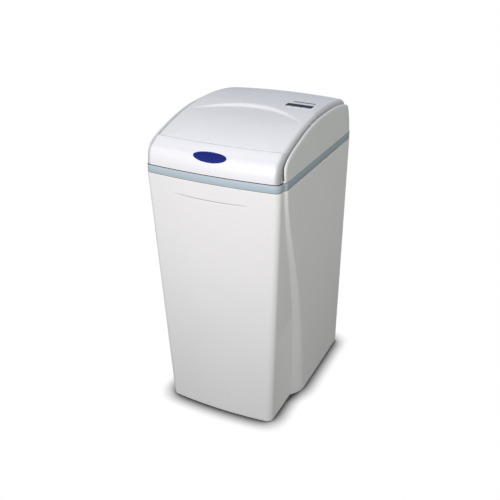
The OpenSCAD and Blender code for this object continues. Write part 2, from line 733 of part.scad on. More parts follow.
module valve_body() {
    color("dimgray") difference() {
        union() {
            at_tank() translate([0, 0, tank_top]) cylinder(r = clamp_r, h = valve_foot_h + 2);
            at_tank() translate([0, 0, tank_top + valve_foot_h])
                cylinder(r = valve_r, h = valve_top - tank_top - valve_foot_h);
            for (s = [-1, 1])
                along_y(s * port_pitch / 2, tank_y + 14, port_z, port_r, port_end_y - tank_y - 14);
            translate([nozzle_x, tank_y, nozzle_low])
                cylinder(r = nozzle_r, h = nozzle_top - nozzle_low);
            translate([nozzle_x, tank_y - 9, nozzle_low + 4]) cube([-nozzle_x, 18, 18]);
            along_y(nozzle_x, tank_y - nozzle_r - 8, nozzle_low + 14, line_r + 3, 20);
            along_x(0, tank_y, drain_z, drain_r, valve_r + 12);
        }
        at_tank() translate([0, 0, tank_top - 1]) cylinder(r = riser_r + press_gap, h = 24);
        at_tank() translate([0, 0, valve_top - chamber_h]) cylinder(r = chamber_r, h = chamber_h + 1);
        for (s = [-1, 1]) along_y(s * port_pitch / 2, port_start_y, port_z, port_bore_r, port_end_y);
        translate([nozzle_x, tank_y, nozzle_top - nozzle_bore_h])
            cylinder(r = nozzle_bore_r, h = nozzle_bore_h + 1);
        along_y(nozzle_x, tank_y - nozzle_r - 9, nozzle_low + 14, line_r + press_gap, 16);
        along_x(valve_r - 6, tank_y, drain_z, drain_r - 3, 30);
        on_screw_ring() translate([0, 0, valve_top - 9])
            cylinder(r = cover_screw_r + press_gap, h = 10);
    }
}

// Two half rings round the tank's neck and the valve's foot, drawn together by two screws
clamp_z = tank_top - 8;
clamp_h = 18;
lug_x = clamp_r + 9;
module tank_clamp() {
    color("black") for (s = [0, 1]) at_tank() rotate([0, 0, 180 * s]) difference() {
        translate([0, 0, clamp_z]) union() {
            cylinder(r = clamp_r + 4, h = clamp_h);
            translate([-lug_x - 6, 0, 0]) cube([2 * lug_x + 12, 8, clamp_h]);
        }
        translate([0, 0, tank_top - press_gap]) cylinder(r = clamp_r + press_gap, h = clamp_h);
        translate([0, 0, clamp_z - 1]) cylinder(r = neck_r + press_gap, h = clamp_h);
        translate([-100, -200 + 0.5, clamp_z - 1]) cube([200, 200, clamp_h + 2]);
        for (x = [-lug_x, lug_x]) translate([x, 20, clamp_z + clamp_h / 2]) rotate([90, 0, 0])
            cylinder(r = 2.5 + press_gap, h = 40);
    }
}
module clamp_screws() {
    head = 3;
    grip = 16;
    nut = 4;
    color("silver") for (x = [-lug_x, lug_x])
        translate([x, tank_y - grip / 2 - head, clamp_z + clamp_h / 2]) rotate([-90, 0, 0]) {
            cylinder(r = 4.5, h = head);
            cylinder(r = 2.5, h = head + grip + nut);
            translate([0, 0, head + grip]) cylinder(r = 4.5, h = nut, $fn = 6);
        }
}
module valve_cover() {
    color("dimgray") difference() {
        at_tank() translate([0, 0, valve_top]) cylinder(r = valve_r + 2, h = cover_t);
        at_tank() translate([0, 0, valve_top - 1]) cylinder(r = shaft_r + run_gap, h = cover_t + 2);
        on_screw_ring() translate([0, 0, valve_top - 1])
            cylinder(r = cover_screw_r + press_gap, h = cover_t + 2);
    }
}
module cover_screws() {
    color("silver") on_screw_ring() translate([0, 0, valve_top - 8]) {
        cylinder(r = cover_screw_r, h = 8 + cover_t + 2.5);
        translate([0, 0, 8 + cover_t]) cylinder(r = 3.5, h = 2.5);
    }
}

// Rotor, gear train and motor
gear_z = valve_top + cover_t + 4;
gear_pitch_r = gear_module * gear_teeth / 2;
pinion_pitch_r = gear_module * pinion_teeth / 2;
gear_play = 0.15;
centre_gap = gear_pitch_r + pinion_pitch_r + gear_play;
motor_angle = 135;
motor_at = [centre_gap * cos(motor_angle), centre_gap * sin(motor_angle)];
plate_z = gear_z + gear_w + 3;
plate_t = 3;
motor_r = 22;
motor_h = 20;
module gear_plan(teeth, phase) {
    r = gear_module * teeth / 2;
    pitch = 360 / teeth;
    tip = r + gear_module * 0.9;
    root = r - gear_module * 1.15;
    polygon([for (i = [0:teeth - 1], k = [0:3])
        let (
            a = phase + pitch * i + [-0.3, -0.12, 0.12, 0.3][k] * pitch,
            d = (k == 0 || k == 3) ? root : tip
        )
        [d * cos(a), d * sin(a)]]);
}
module drive_gear() {
    color("ivory") at_tank() translate([0, 0, gear_z]) difference() {
        linear_extrude(gear_w) gear_plan(gear_teeth, motor_angle);
        translate([0, 0, -1]) cylinder(r = shaft_r + press_gap, h = gear_w + 2);
    }
}
module rotor() {
    color("ivory") at_tank() {
        translate([0, 0, valve_top - chamber_h + 2 + seat_gap]) cylinder(r = chamber_r - 0.6, h = 8);
        translate([0, 0, valve_top - chamber_h + 4])
            cylinder(r = shaft_r, h = gear_z + gear_w - valve_top + chamber_h - 4);
    }
}
module rotor_seal() {
    color("black") at_tank() translate([0, 0, valve_top - chamber_h]) difference() {
        cylinder(r = chamber_r - seat_gap, h = 2);
        for (a = [30:120:270]) rotate([0, 0, a]) translate([chamber_r / 2, 0, -1]) cylinder(r = 8, h = 4);
    }
}
plate_posts = [90, 180];
post_ring = valve_r - 2;
module motor_plate() {
    edge = post_ring + 18;
    color("gray") at_tank() difference() {
        union() {
            translate([-edge, -8, plate_z]) cube([edge + 8, edge + 8, plate_t]);
            for (a = plate_posts) rotate([0, 0, a]) translate([post_ring, 0, valve_top + cover_t])
                cylinder(r = 3.5, h = plate_z + 1 - valve_top - cover_t);
        }
        translate([motor_at[0], motor_at[1], plate_z - 1]) cylinder(r = 5, h = plate_t + 2);
        for (p = motor_screw_at) translate([p[0], p[1], plate_z - 1])
            cylinder(r = 1.5 + press_gap, h = plate_t + 2);
    }
}
motor_screw_at = [for (s = [-1, 1])
    motor_at + (motor_r + 4) * [cos(motor_angle + 90), sin(motor_angle + 90)] * s];
module drive_motor() {
    color("silver") at_tank() difference() {
        union() {
            translate([motor_at[0], motor_at[1], plate_z + plate_t]) cylinder(r = motor_r, h = motor_h);
            for (p = motor_screw_at) translate([p[0], p[1], plate_z + plate_t]) cylinder(r = 5, h = 2);
        }
        translate([motor_at[0], motor_at[1], plate_z]) cylinder(r = 2 + run_gap, h = plate_t + 12);
        for (p = motor_screw_at) translate([p[0], p[1], plate_z])
            cylinder(r = 1.5 + press_gap, h = plate_t + 4);
    }
}
module motor_screws() {
    color("silver") at_tank() for (p = motor_screw_at) translate([p[0], p[1], plate_z - 2]) {
        cylinder(r = 1.5, h = 2 + plate_t + 2 + 2);
        translate([0, 0, 2 + plate_t + 2]) cylinder(r = 3, h = 2);
    }
}
module motor_pinion() {
    color("orange") at_tank() translate([motor_at[0], motor_at[1], 0]) {
        translate([0, 0, gear_z]) linear_extrude(gear_w)
            gear_plan(pinion_teeth, motor_angle + 180 + 180 / pinion_teeth);
        translate([0, 0, gear_z]) cylinder(r = 2, h = plate_z + plate_t + 10 - gear_z);
    }
}
module position_sensor() {
    color("black") at_tank() translate([-7, -valve_r - 1, valve_top + cover_t])
        cube([14, 5, gear_z + gear_w - valve_top - cover_t]);
}

// Nozzle and venturi under their screwed cap
module nozzle_gasket() {
    color("black") translate([nozzle_x, tank_y, nozzle_top - nozzle_bore_h]) difference() {
        cylinder(r = nozzle_bore_r - seat_gap, h = 2);
        translate([0, 0, -1]) cylinder(r = 3, h = 4);
    }
}
module nozzle_venturi() {
    color("ivory") translate([nozzle_x, tank_y, nozzle_top - nozzle_bore_h + 2]) difference() {
        cylinder(r = nozzle_bore_r - seat_gap, h = 7);
        translate([0, 0, -1]) cylinder(r = 1.5, h = 9);
    }
}
module nozzle_cap() {
    ribs = 12;
    color("dimgray") translate([nozzle_x, tank_y, nozzle_top]) {
        cylinder(r = nozzle_r, h = 8);
        translate([0, 0, 9 - nozzle_bore_h + seat_gap])
            cylinder(r = nozzle_bore_r - seat_gap, h = nozzle_bore_h - 9);
        for (i = [0:ribs - 1]) rotate([0, 0, 360 / ribs * i])
            translate([nozzle_r - 0.5, -1.5, 0]) cube([2, 3, 8]);
    }
}

// Flow turbine in the outlet port
turbine_x = port_pitch / 2;
turbine_len = 14;
support_len = 6;
support_y = port_end_y - support_len - 1;
turbine_pin_r = 1.2;
module turbine_support() {
    color("white") difference() {
        union() {
            difference() {
                along_y(turbine_x, support_y, port_z, port_bore_r - press_gap, support_len);
                along_y(turbine_x, support_y - 1, port_z, port_bore_r - 1.6, support_len + 2);
            }
            along_y(turbine_x, support_y, port_z, 3, support_len);
            for (a = [0, 60, 120])
                translate([turbine_x, support_y + support_len / 2, port_z]) rotate([0, a, 0])
                    cube([2 * port_bore_r - 2, support_len, 1.4], center = true);
        }
        along_y(turbine_x, support_y - 1, port_z, turbine_pin_r + run_gap, support_len + 2);
    }
}
module flow_turbine() {
    blades = 6;
    start = support_y - seat_gap - turbine_len;
    color("blue") {
        along_y(turbine_x, start, port_z, 3, turbine_len);
        along_y(turbine_x, start, port_z, turbine_pin_r, turbine_len + support_len);
        for (i = [0:blades - 1]) translate([turbine_x, start, port_z]) rotate([0, 60 * i, 0])
            translate([2, 2, -0.6]) cube([port_bore_r - 3, turbine_len - 4, 1.2]);
    }
}

// Bypass valve behind the control valve, with its sliding stem
bypass_half = port_pitch / 2 + port_r + 6;
bypass_back_y = byp_y + bypass_r + 3;
flow_r = 9;
knob_r = 14;
knob_t = 10;
module bypass_body() {
    color("dimgray") difference() {
        union() {
            along_x(-bypass_half, byp_y, port_z, bypass_r, 2 * bypass_half);
            for (s = [-1, 1])
                along_y(s * port_pitch / 2, port_end_y, port_z, port_r, bypass_back_y - port_end_y);
        }
        along_x(-bypass_half - 1, byp_y, port_z, stem_r + run_gap, 2 * bypass_half + 2);
        for (s = [-1, 1])
            along_y(s * port_pitch / 2, port_end_y - 1, port_z, flow_r, bypass_back_y - port_end_y + 2);
    }
}
module bypass_stem() {
    left = -bypass_half - stem_travel - 2;
    color("crimson") difference() {
        union() {
            along_x(left, byp_y, port_z, stem_r, bypass_half + 2 - left);
            along_x(left - knob_t, byp_y, port_z, knob_r, knob_t);
            along_x(bypass_half + 1, byp_y, port_z, knob_r, knob_t);
        }
        for (s = [-1, 1]) difference() {
            along_x(s * port_pitch / 2 - flow_r, byp_y, port_z, stem_r + 1, 2 * flow_r);
            along_x(s * port_pitch / 2 - flow_r - 1, byp_y, port_z, stem_r - 5, 2 * flow_r + 2);
        }
    }
}
clip_t = 4;
clip_len = 10;
module port_clips() {
    color("white") for (s = [-1, 1]) difference() {
        along_y(s * port_pitch / 2, port_end_y - clip_len / 2, port_z, port_r + clip_t, clip_len);
        along_y(s * port_pitch / 2, port_end_y - clip_len, port_z, port_r + press_gap, 2 * clip_len);
        translate([s * port_pitch / 2 - 6, port_end_y - clip_len, port_z - port_r - clip_t - 1])
            cube([12, 2 * clip_len, 12]);
    }
}
adaptor_len = 24;
socket_len = 20;
module tube_adaptor(x) {
    color("peru") difference() {
        union() {
            along_y(x, bypass_back_y, port_z, tube_r + 3.5, adaptor_len);
            along_y(x, bypass_back_y, port_z, port_r + 2, 7);
        }
        along_y(x, bypass_back_y - 1, port_z, flow_r, adaptor_len);
        along_y(x, bypass_back_y + adaptor_len - socket_len, port_z, tube_r + 0.1, socket_len + 1);
    }
}
module inlet_adaptor() { tube_adaptor(-port_pitch / 2); }
module outlet_adaptor() { tube_adaptor(port_pitch / 2); }

// Drain elbow, from the valve's side out through the back
drain_x = pipe_open_w / 2 - 14;
drain_end_y = half_d + 18;
module barbs(n, r, step) {
    for (i = [0:n - 1]) translate([0, 0, i * step]) cylinder(r1 = r + 1, r2 = r, h = step);
}
module drain_elbow() {
    color("black") difference() {
        union() {
            along_x(valve_r + 12, tank_y, drain_z, drain_r, drain_x - valve_r - 12);
            translate([drain_x, tank_y, drain_z]) sphere(r = drain_r);
            along_y(drain_x, tank_y, drain_z, drain_r - 1.5, drain_end_y - tank_y);
            translate([drain_x, drain_end_y, drain_z]) rotate([90, 0, 0]) barbs(4, drain_r - 1.5, 5);
        }
        along_x(valve_r, tank_y, drain_z, drain_r - 3, drain_x - valve_r);
        along_y(drain_x, tank_y, drain_z, drain_r - 3.5, drain_end_y);
    }
}

// Brine side: the well stands in the front left of the salt compartment
well_clear = 13;
well_x = -front_half(0) + wall + well_r + well_clear;
well_y = -half_d + 115;
well_top = floor_t + well_h;
cap_t = 6;
check_r = 16;
check_h = 50;
elbow_z = well_top + cap_t + 10;
module at_well() {
    translate([well_x, well_y, 0]) children();
}
module brine_well() {
    slots = 6;
    color("white") at_well() difference() {
        translate([0, 0, floor_t]) cylinder(r = well_r, h = well_h);
        translate([0, 0, floor_t - 1]) cylinder(r = well_r - well_wall, h = well_h + 2);
        for (i = [0:slots - 1]) rotate([0, 0, 360 / slots * i]) translate([0, 0, floor_t + 26])
            rotate([0, 90, 0]) cylinder(r = 4, h = well_r + 1);
    }
}
module well_cap() {
    color("whitesmoke") at_well() difference() {
        union() {
            translate([0, 0, well_top]) cylinder(r = well_r + 2, h = cap_t);
            translate([0, 0, well_top - 8]) cylinder(r = well_r - well_wall - seat_gap, h = 9);
        }
        translate([0, 0, well_top - 9]) cylinder(r = well_r - well_wall - 3, h = 9);
        translate([0, 0, well_top - 9]) cylinder(r = brine_r + press_gap, h = cap_t + 20);
    }
}
module brine_pipe() {
    color("gainsboro") at_well() {
        translate([0, 0, floor_t]) cylinder(r = check_r, h = check_h);
        translate([0, 0, floor_t]) cylinder(r = brine_r, h = elbow_z - floor_t);
        translate([0, 0, elbow_z]) sphere(r = brine_r);
        along_y(0, 0, elbow_z, brine_r, 14);
    }
}
float_z = floor_t + check_h + seat_gap;
module brine_float() {
    color("orange") at_well() translate([0, 0, float_z]) difference() {
        cylinder(r = float_r, h = float_h);
        translate([0, 0, -1]) cylinder(r = brine_r + 0.5, h = float_h + 2);
    }
}
module float_stop() {
    color("black") at_well() translate([0, 0, float_z + float_h + float_travel + seat_gap]) difference() {
        cylinder(r = brine_r + 5, h = 6);
        translate([0, 0, -1]) cylinder(r = brine_r + press_gap, h = 8);
    }
}

// Brine line from the pipe's elbow to the nozzle housing: points chosen by hand between its two ends
line_start = [well_x, well_y + 14, elbow_z];
line_end = [nozzle_x, tank_y - nozzle_r - 8 + 7, nozzle_low + 14];
line_route = spline([
    line_start, line_start + [0, 20, 0], [well_x, -60, elbow_z], [well_x + 2, 0, elbow_z + 8],
    [lerp(well_x, nozzle_x, 0.4), 45, lerp(elbow_z, line_end[2], 0.55)],
    line_end - [0, 26, 1], line_end - [0, 12, 0], line_end], 4);
function line_ring(i) =
    let (
        p = line_route[i],
        t = i == 0 || i == len(line_route) - 1 ? [0, 1, 0] : tangent(line_route, i),
        side = unit(cross(t, [0, 0, 1])),
        up = cross(side, t)
    )
    [for (a = [0:36:324]) p + line_r * (cos(a) * side + sin(a) * up)];
module brine_line() {
    n = 10;
    m = len(line_route);
    rows = [for (i = [0:m - 1]) line_ring(i)];
    sides = [for (j = [0:m - 2], i = [0:n - 1])
        let (a = j * n + i, b = j * n + (i + 1) % n)
        each [[a, b + n, b], [a, a + n, b + n]]];
    first = [for (i = [0:n - 1]) i];
    last = [for (i = [n - 1:-1:0]) (m - 1) * n + i];
    color("white") polyhedron([for (r = rows) each r], concat(sides, [first, last]));
}

// Overflow outlet at the back
overflow_tube_r = 9;
overflow_reach = 22;
module overflow_grommet() {
    flange = 3;
    color("black") at_back(overflow_x, overflow_z) difference() {
        union() {
            translate([0, 0, -wall - flange - press_gap]) cylinder(r = overflow_r + 4, h = flange);
            translate([0, 0, -wall - flange]) cylinder(r = overflow_r - press_gap, h = wall + 2 * flange);
            translate([0, 0, press_gap]) cylinder(r = overflow_r + 4, h = flange);
        }
        translate([0, 0, -50]) cylinder(r = overflow_tube_r + press_gap, h = 100);
    }
}
module overflow_elbow() {
    drop = 38;
    inside = 16;
    color("black") difference() {
        union() {
            at_back(overflow_x, overflow_z) translate([0, 0, -inside])
                cylinder(r = overflow_tube_r, h = inside + overflow_reach);
            translate([overflow_x, half_d + overflow_reach, overflow_z]) {
                sphere(r = overflow_tube_r);
                translate([0, 0, -drop]) cylinder(r = overflow_tube_r - 1.5, h = drop);
                translate([0, 0, -drop]) barbs(4, overflow_tube_r - 1.5, 5);
            }
        }
        at_back(overflow_x, overflow_z) translate([0, 0, -inside - 1])
            cylinder(r = overflow_tube_r - 3, h = inside + 1 + overflow_reach);
        translate([overflow_x, half_d + overflow_reach, overflow_z - drop - 1])
            cylinder(r = overflow_tube_r - 3.5, h = drop + 1);
    }
}

module power_inlet() {
    color("black") at_back(inlet_x, inlet_z) difference() {
        union() {
            translate([-8, -8, -back_t - 12]) cube([16, 16, 12]);
            translate([0, 0, -back_t - 1]) cylinder(r = inlet_r - press_gap, h = back_t + 1.5);
        }
        translate([0, 0, -back_t - 9]) cylinder(r = 3, h = 30);
    }
}

cabinet();
rim_band();
top_cover();
rear_cover();
salt_lid();
lid_hinge_pins();
badge();
display_panel();
display_window();
display_module();
select_key();
up_key();
down_key();
recharge_key();
control_board();
board_screws();
power_inlet();
resin_tank();
tank_foot();
resin_bed();
riser_tube();
bottom_basket();
top_basket();
valve_body();
tank_clamp();
clamp_screws();
valve_cover();
cover_screws();
rotor();
rotor_seal();
drive_gear();
motor_plate();
drive_motor();
motor_pinion();
motor_screws();
position_sensor();
nozzle_cap();
nozzle_venturi();
nozzle_gasket();
turbine_support();
flow_turbine();
bypass_body();
bypass_stem();
port_clips();
inlet_adaptor();
outlet_adaptor();
drain_elbow();
brine_well();
well_cap();
brine_pipe();
brine_float();
float_stop();
brine_line();
overflow_grommet();
overflow_elbow();
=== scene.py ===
"""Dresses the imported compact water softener: finer mouldings, finishes, floor, light and camera.

The part's sizes are in millimetres, in its own frame, and become metres when a mesh is made. The
studio's are in metres.
"""

import json
import logging
import math
from collections.abc import Callable
from dataclasses import dataclass, field
from enum import Enum

import bmesh
import bpy
import numpy as np
from mathutils import Matrix, Vector


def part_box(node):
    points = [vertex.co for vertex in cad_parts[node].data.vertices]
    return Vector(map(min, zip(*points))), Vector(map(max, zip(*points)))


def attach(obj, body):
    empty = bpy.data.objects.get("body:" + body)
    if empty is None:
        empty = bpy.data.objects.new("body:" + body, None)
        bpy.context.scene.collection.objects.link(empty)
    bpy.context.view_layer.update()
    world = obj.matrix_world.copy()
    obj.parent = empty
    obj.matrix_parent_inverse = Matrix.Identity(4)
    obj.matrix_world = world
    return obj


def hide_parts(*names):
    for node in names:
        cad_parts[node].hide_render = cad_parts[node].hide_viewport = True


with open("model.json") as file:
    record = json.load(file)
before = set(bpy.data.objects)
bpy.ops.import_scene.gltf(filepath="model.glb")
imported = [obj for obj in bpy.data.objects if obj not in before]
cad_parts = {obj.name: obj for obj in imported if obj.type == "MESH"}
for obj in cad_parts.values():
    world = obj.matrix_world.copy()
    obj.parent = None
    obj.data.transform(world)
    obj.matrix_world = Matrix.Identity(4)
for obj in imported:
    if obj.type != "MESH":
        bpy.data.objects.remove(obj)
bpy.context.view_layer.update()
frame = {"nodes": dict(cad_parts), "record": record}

LOG = logging.getLogger("softener")
MM = 0.001
# The width that a tapered ribbon still has at its ends.
THIN = 0.05
# Edges of the curved mouldings that bend more than this many degrees stay sharp.
CURVED = 50
# Points nearer than the first of these are joined, and slivers thinner than the second go, in metres.
SAME_POINT = 1e-6
SLIVER = 1e-7


class Body(Enum):
    """The moving bodies that pieces ride on."""

    HOUSING = "housing"
    LID = "lid"
    STEM = "stem"


class Ends(Enum):
    """How a loft closes its first and last ring."""

    FAN = "fan"
    STRIP = "strip"
    JOINED = "joined"


def lerp(a: float, b: float, t: float) -> float:
    """Returns the value a share t of the way from a to b."""
    return a + (b - a) * t


def ease(t: np.ndarray) -> np.ndarray:
    """Returns a smooth step of t, which is held between 0 and 1."""
    u = np.clip(t, 0, 1)
    return u * u * (3 - 2 * u)


def spline(knots: list, steps: int) -> np.ndarray:
    """Samples a curve that runs through every knot.

    Args:
        knots: the points, each a tuple of the same length.
        steps: samples for each stretch between two knots.

    Returns:
        The samples, one row each, with the last knot included.
    """
    p = np.asarray(knots, float)
    rows = []
    for k in range(len(p) - 1):
        a, b, c, d = p[max(k - 1, 0)], p[k], p[k + 1], p[min(k + 2, len(p) - 1)]
        for t in np.arange(steps) / steps:
            rows.append(0.5 * (2 * b + (c - a) * t + (2 * a - 5 * b + 4 * c - d) * t * t
                               + (3 * b - a - 3 * c + d) * t ** 3))
    return np.array(rows + [p[-1]])


def outward(profile: np.ndarray) -> np.ndarray:
    """Returns the outward normal at each point of a profile that rises from the front backwards.

    Args:
        profile: the points, each y and z.
    """
    run = np.gradient(profile, axis=0)
    run[0] = (0, 1)
    run /= np.linalg.norm(run, axis=1)[:, None]
    return np.stack([-run[:, 1], run[:, 0]], axis=1)


class Draft:
    """Points and faces gathered in millimetres, made into one mesh at the end."""

    def __init__(self) -> None:
        """Starts empty."""
        self.points: list = []
        self.faces: list = []

    def add(self, points: np.ndarray, faces: list) -> None:
        """Adds points and the faces between them.

        Args:
            points: the points.
            faces: tuples of places in that list.
        """
        base = len(self.points)
        self.points += [tuple(p) for p in points]
        self.faces += [tuple(base + i for i in f) for f in faces]

    def loft(self, rings: np.ndarray, ends: Ends) -> None:
        """Adds a skin over a stack of closed rings.

        Args:
            rings: array of rings, of points, of three coordinates.
            ends: how the first and last ring are closed.
        """
        m, n = rings.shape[:2]
        points = rings.reshape(-1, 3)
        turns = m if ends is Ends.JOINED else m - 1
        faces = [(j * n + i, j * n + (i + 1) % n, (j + 1) % m * n + (i + 1) % n, (j + 1) % m * n + i)
                 for j in range(turns) for i in range(n)]
        if ends is Ends.FAN:
            middle = rings[[0, -1]].mean(axis=1)
            points = np.vstack([points, middle])
            for ring, hub in ((0, m * n), (m - 1, m * n + 1)):
                faces += [(ring * n + i, ring * n + (i + 1) % n, hub) for i in range(n)]
        if ends is Ends.STRIP:
            for ring in (0, m - 1):
                faces += [tuple(ring * n + k for k in (i, i + 1, n - 2 - i, n - 1 - i))
                          for i in range(n // 2 - 1)]
        self.add(points, faces)

    def box(self, low: tuple, high: tuple) -> None:
        """Adds a box between two corners.

        Args:
            low: the lowest corner.
            high: the highest corner.
        """
        corners = [[(low, high)[k >> a & 1][a] for a in range(3)] for k in range(8)]
        sides = [(0, 1, 3, 2), (4, 6, 7, 5), (0, 4, 5, 1), (2, 3, 7, 6), (0, 2, 6, 4), (1, 5, 7, 3)]
        self.add(corners, sides)

    def plate(self, xs: list, ys: list, gaps: set, z0: float, z1: float) -> None:
        """Adds a flat plate made of a grid of cells, some of them left open.

        Args:
            xs: the grid's lines across.
            ys: the grid's lines along.
            gaps: the open cells, as pairs of column and row.
            z0: level of the underside.
            z1: level of the top.
        """
        w, h = len(xs), len(ys)
        points = [(x, y, z) for z in (z0, z1) for y in ys for x in xs]
        top = w * h
        solid = {(i, j) for i in range(w - 1) for j in range(h - 1)} - gaps
        faces = []
        for i, j in solid:
            a, b, c, d = j * w + i, j * w + i + 1, (j + 1) * w + i + 1, (j + 1) * w + i
            faces += [(a, d, c, b), tuple(top + k for k in (a, b, c, d))]
            for (p, q), other in (((a, b), (i, j - 1)), ((b, c), (i + 1, j)), ((c, d), (i, j + 1)),
                                  ((d, a), (i - 1, j))):
                if other not in solid:
                    faces.append((p, q, top + q, top + p))
        self.add(points, faces)

    def lathe(self, profile: list, centre: tuple, axis: str = "Z", steps: int = 48) -> None:
        """Adds a closed profile turned about an axis.

        Args:
            profile: pairs of radius and height.
            centre: where the axis starts.
            axis: the axis that heights run along, X, Y or Z.
            steps: points round the axis.
        """
        angles = np.arange(steps) / steps * 2 * math.pi
        order = {"Z": (0, 1, 2), "X": (1, 2, 0), "Y": (2, 0, 1)}[axis]
        rings = np.zeros((len(profile), steps, 3))
        for j, (r, h) in enumerate(profile):
            for k, values in zip(order, (r * np.cos(angles), r * np.sin(angles), np.full(steps, h))):
                rings[j, :, k] = values
        self.loft(rings + np.array(centre), Ends.JOINED)

    def ribbon(self, middle: np.ndarray, across: tuple, out: tuple, widths: np.ndarray, thick: float) -> None:
        """Adds a thin ribbon along a line.

        Args:
            middle: points along the middle of its upper face.
            across: the direction of its width.
            out: the direction that its upper face looks to.
            widths: its width at each point.
            thick: its thickness.
        """
        half, deep = widths[:, None] / 2 * np.array(across), thick * np.array(out)
        rings = np.stack([middle - half, middle + half, middle + half - deep, middle - half - deep], axis=1)
        self.loft(rings, Ends.STRIP)

    def mesh(self, name: str, sharp: float = 35) -> bpy.types.Object:
        """Makes the object.

        Args:
            name: the piece's name.
            sharp: edges that bend more than this many degrees stay sharp.

        Returns:
            The new object, at the origin.
        """
        data = bpy.data.meshes.new(name)
        data.from_pydata([tuple(MM * v for v in p) for p in self.points], [], self.faces)
        work = bmesh.new()
        work.from_mesh(data)
        bmesh.ops.remove_doubles(work, verts=work.verts, dist=SAME_POINT)
        bmesh.ops.dissolve_degenerate(work, edges=work.edges, dist=SLIVER)
        bmesh.ops.recalc_face_normals(work, faces=work.faces)
        work.to_mesh(data)
        work.free()
        data.shade_smooth()
        data.set_sharp_from_angle(angle=math.radians(sharp))
        piece = bpy.data.objects.new(name, data)
        bpy.context.collection.objects.link(piece)
        return piece


def settle(piece: bpy.types.Object, material: bpy.types.Material, body: Body, slot: str, *nodes: str) -> None:
    """Gives a piece its finish and its body, and hides the nodes that it stands for.

    Args:
        piece: the new object.
        material: its finish.
        body: the body that it moves with.
        slot: the record's material slot; not used.
        nodes: names of the nodes that it replaces.
    """
    piece.data.materials.clear()
    piece.data.materials.append(material)
    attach(piece, body.value)
    if nodes:
        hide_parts(*nodes)
    LOG.info("%s rides %s, %d faces", piece.name, body.value, len(piece.data.polygons))


def add_sockets(tree: bpy.types.NodeTree, side: str, kinds: dict) -> None:
    """Adds sockets to a node group, each given by its name and its kind, on the side INPUT or OUTPUT."""
    for name, kind in kinds.items():
        tree.interface.new_socket(name, in_out=side, socket_type="NodeSocket" + kind)


class ShaderGroup:
    """A shader group that is built on first use and then shared."""

    NAME = ""
    INPUTS: dict = {}
    OUTPUTS: dict = {}

    @classmethod
    def tree(cls) -> bpy.types.NodeTree:
        """Returns the group, built on first use."""
        group = bpy.data.node_groups.get(cls.NAME)
        if group is None:
            group = bpy.data.node_groups.new(cls.NAME, "ShaderNodeTree")
            add_sockets(group, "INPUT", cls.INPUTS)
            add_sockets(group, "OUTPUT", cls.OUTPUTS)
            cls.wire(group.nodes.new, group.links.new)
        return group

    @classmethod
    def wire(cls, make: Callable, link: Callable) -> None:
        """Makes and links the group's nodes, which each group does in its own way."""
        raise NotImplementedError


class GrainGroup(ShaderGroup):
    """The group that every moulding, metal and rubber shares: tone, gloss and a fine texture."""

    NAME = "surface_grain"
    INPUTS = {"Place": "Vector", "Color": "Color", "Tone": "Float", "Roughness": "Float",
              "Gloss Spread": "Float", "Cloud Scale": "Float", "Speckle Scale": "Float", "Streak": "Float"}
    OUTPUTS = {"Color": "Color", "Roughness": "Float", "Height": "Float"}
    CLOUD_DETAIL = 2.0
    CLOUD_MEAN = 0.5
    SPECKLE_DETAIL = 3.0

    @classmethod
    def wire(cls, make: Callable, link: Callable) -> None:
        """Lets broad clouds move the tone and gloss, and a fine speckle give the height.

        Args:
            make: makes a node of a type.
            link: links two sockets.
        """
        given, out = make("NodeGroupInput"), make("NodeGroupOutput")
        stretch = make("ShaderNodeVectorMath")
        stretch.operation = "MULTIPLY"
        lengthen = make("ShaderNodeCombineXYZ")
        lengthen.inputs[0].default_value = lengthen.inputs[1].default_value = 1.0
        link(given.outputs["Streak"], lengthen.inputs[2])
        link(given.outputs["Place"], stretch.inputs[0])
        link(lengthen.outputs[0], stretch.inputs[1])
        cloud, speckle = make("ShaderNodeTexNoise"), make("ShaderNodeTexNoise")
        for noise, size, detail in ((cloud, "Cloud Scale", cls.CLOUD_DETAIL),
                                    (speckle, "Speckle Scale", cls.SPECKLE_DETAIL)):
            noise.inputs["Detail"].default_value = detail
            link(stretch.outputs[0], noise.inputs["Vector"])
            link(given.outputs[size], noise.inputs["Scale"])
        centred = make("ShaderNodeMath")
        centred.operation = "SUBTRACT"
        centred.inputs[1].default_value = cls.CLOUD_MEAN
        link(cloud.outputs["Fac"], centred.inputs[0])
        tone, gloss = make("ShaderNodeMath"), make("ShaderNodeMath")
        for node, amount in ((tone, "Tone"), (gloss, "Gloss Spread")):
            node.operation = "MULTIPLY_ADD"
            link(centred.outputs[0], node.inputs[0])
            link(given.outputs[amount], node.inputs[1])
        tone.inputs[2].default_value = 1.0
        link(given.outputs["Roughness"], gloss.inputs[2])
        scale = make("ShaderNodeVectorMath")
        scale.operation = "SCALE"
        link(given.outputs["Color"], scale.inputs[0])
        link(tone.outputs[0], scale.inputs["Scale"])
        link(scale.outputs[0], out.inputs["Color"])
        link(gloss.outputs[0], out.inputs["Roughness"])
        link(speckle.outputs["Fac"], out.inputs["Height"])


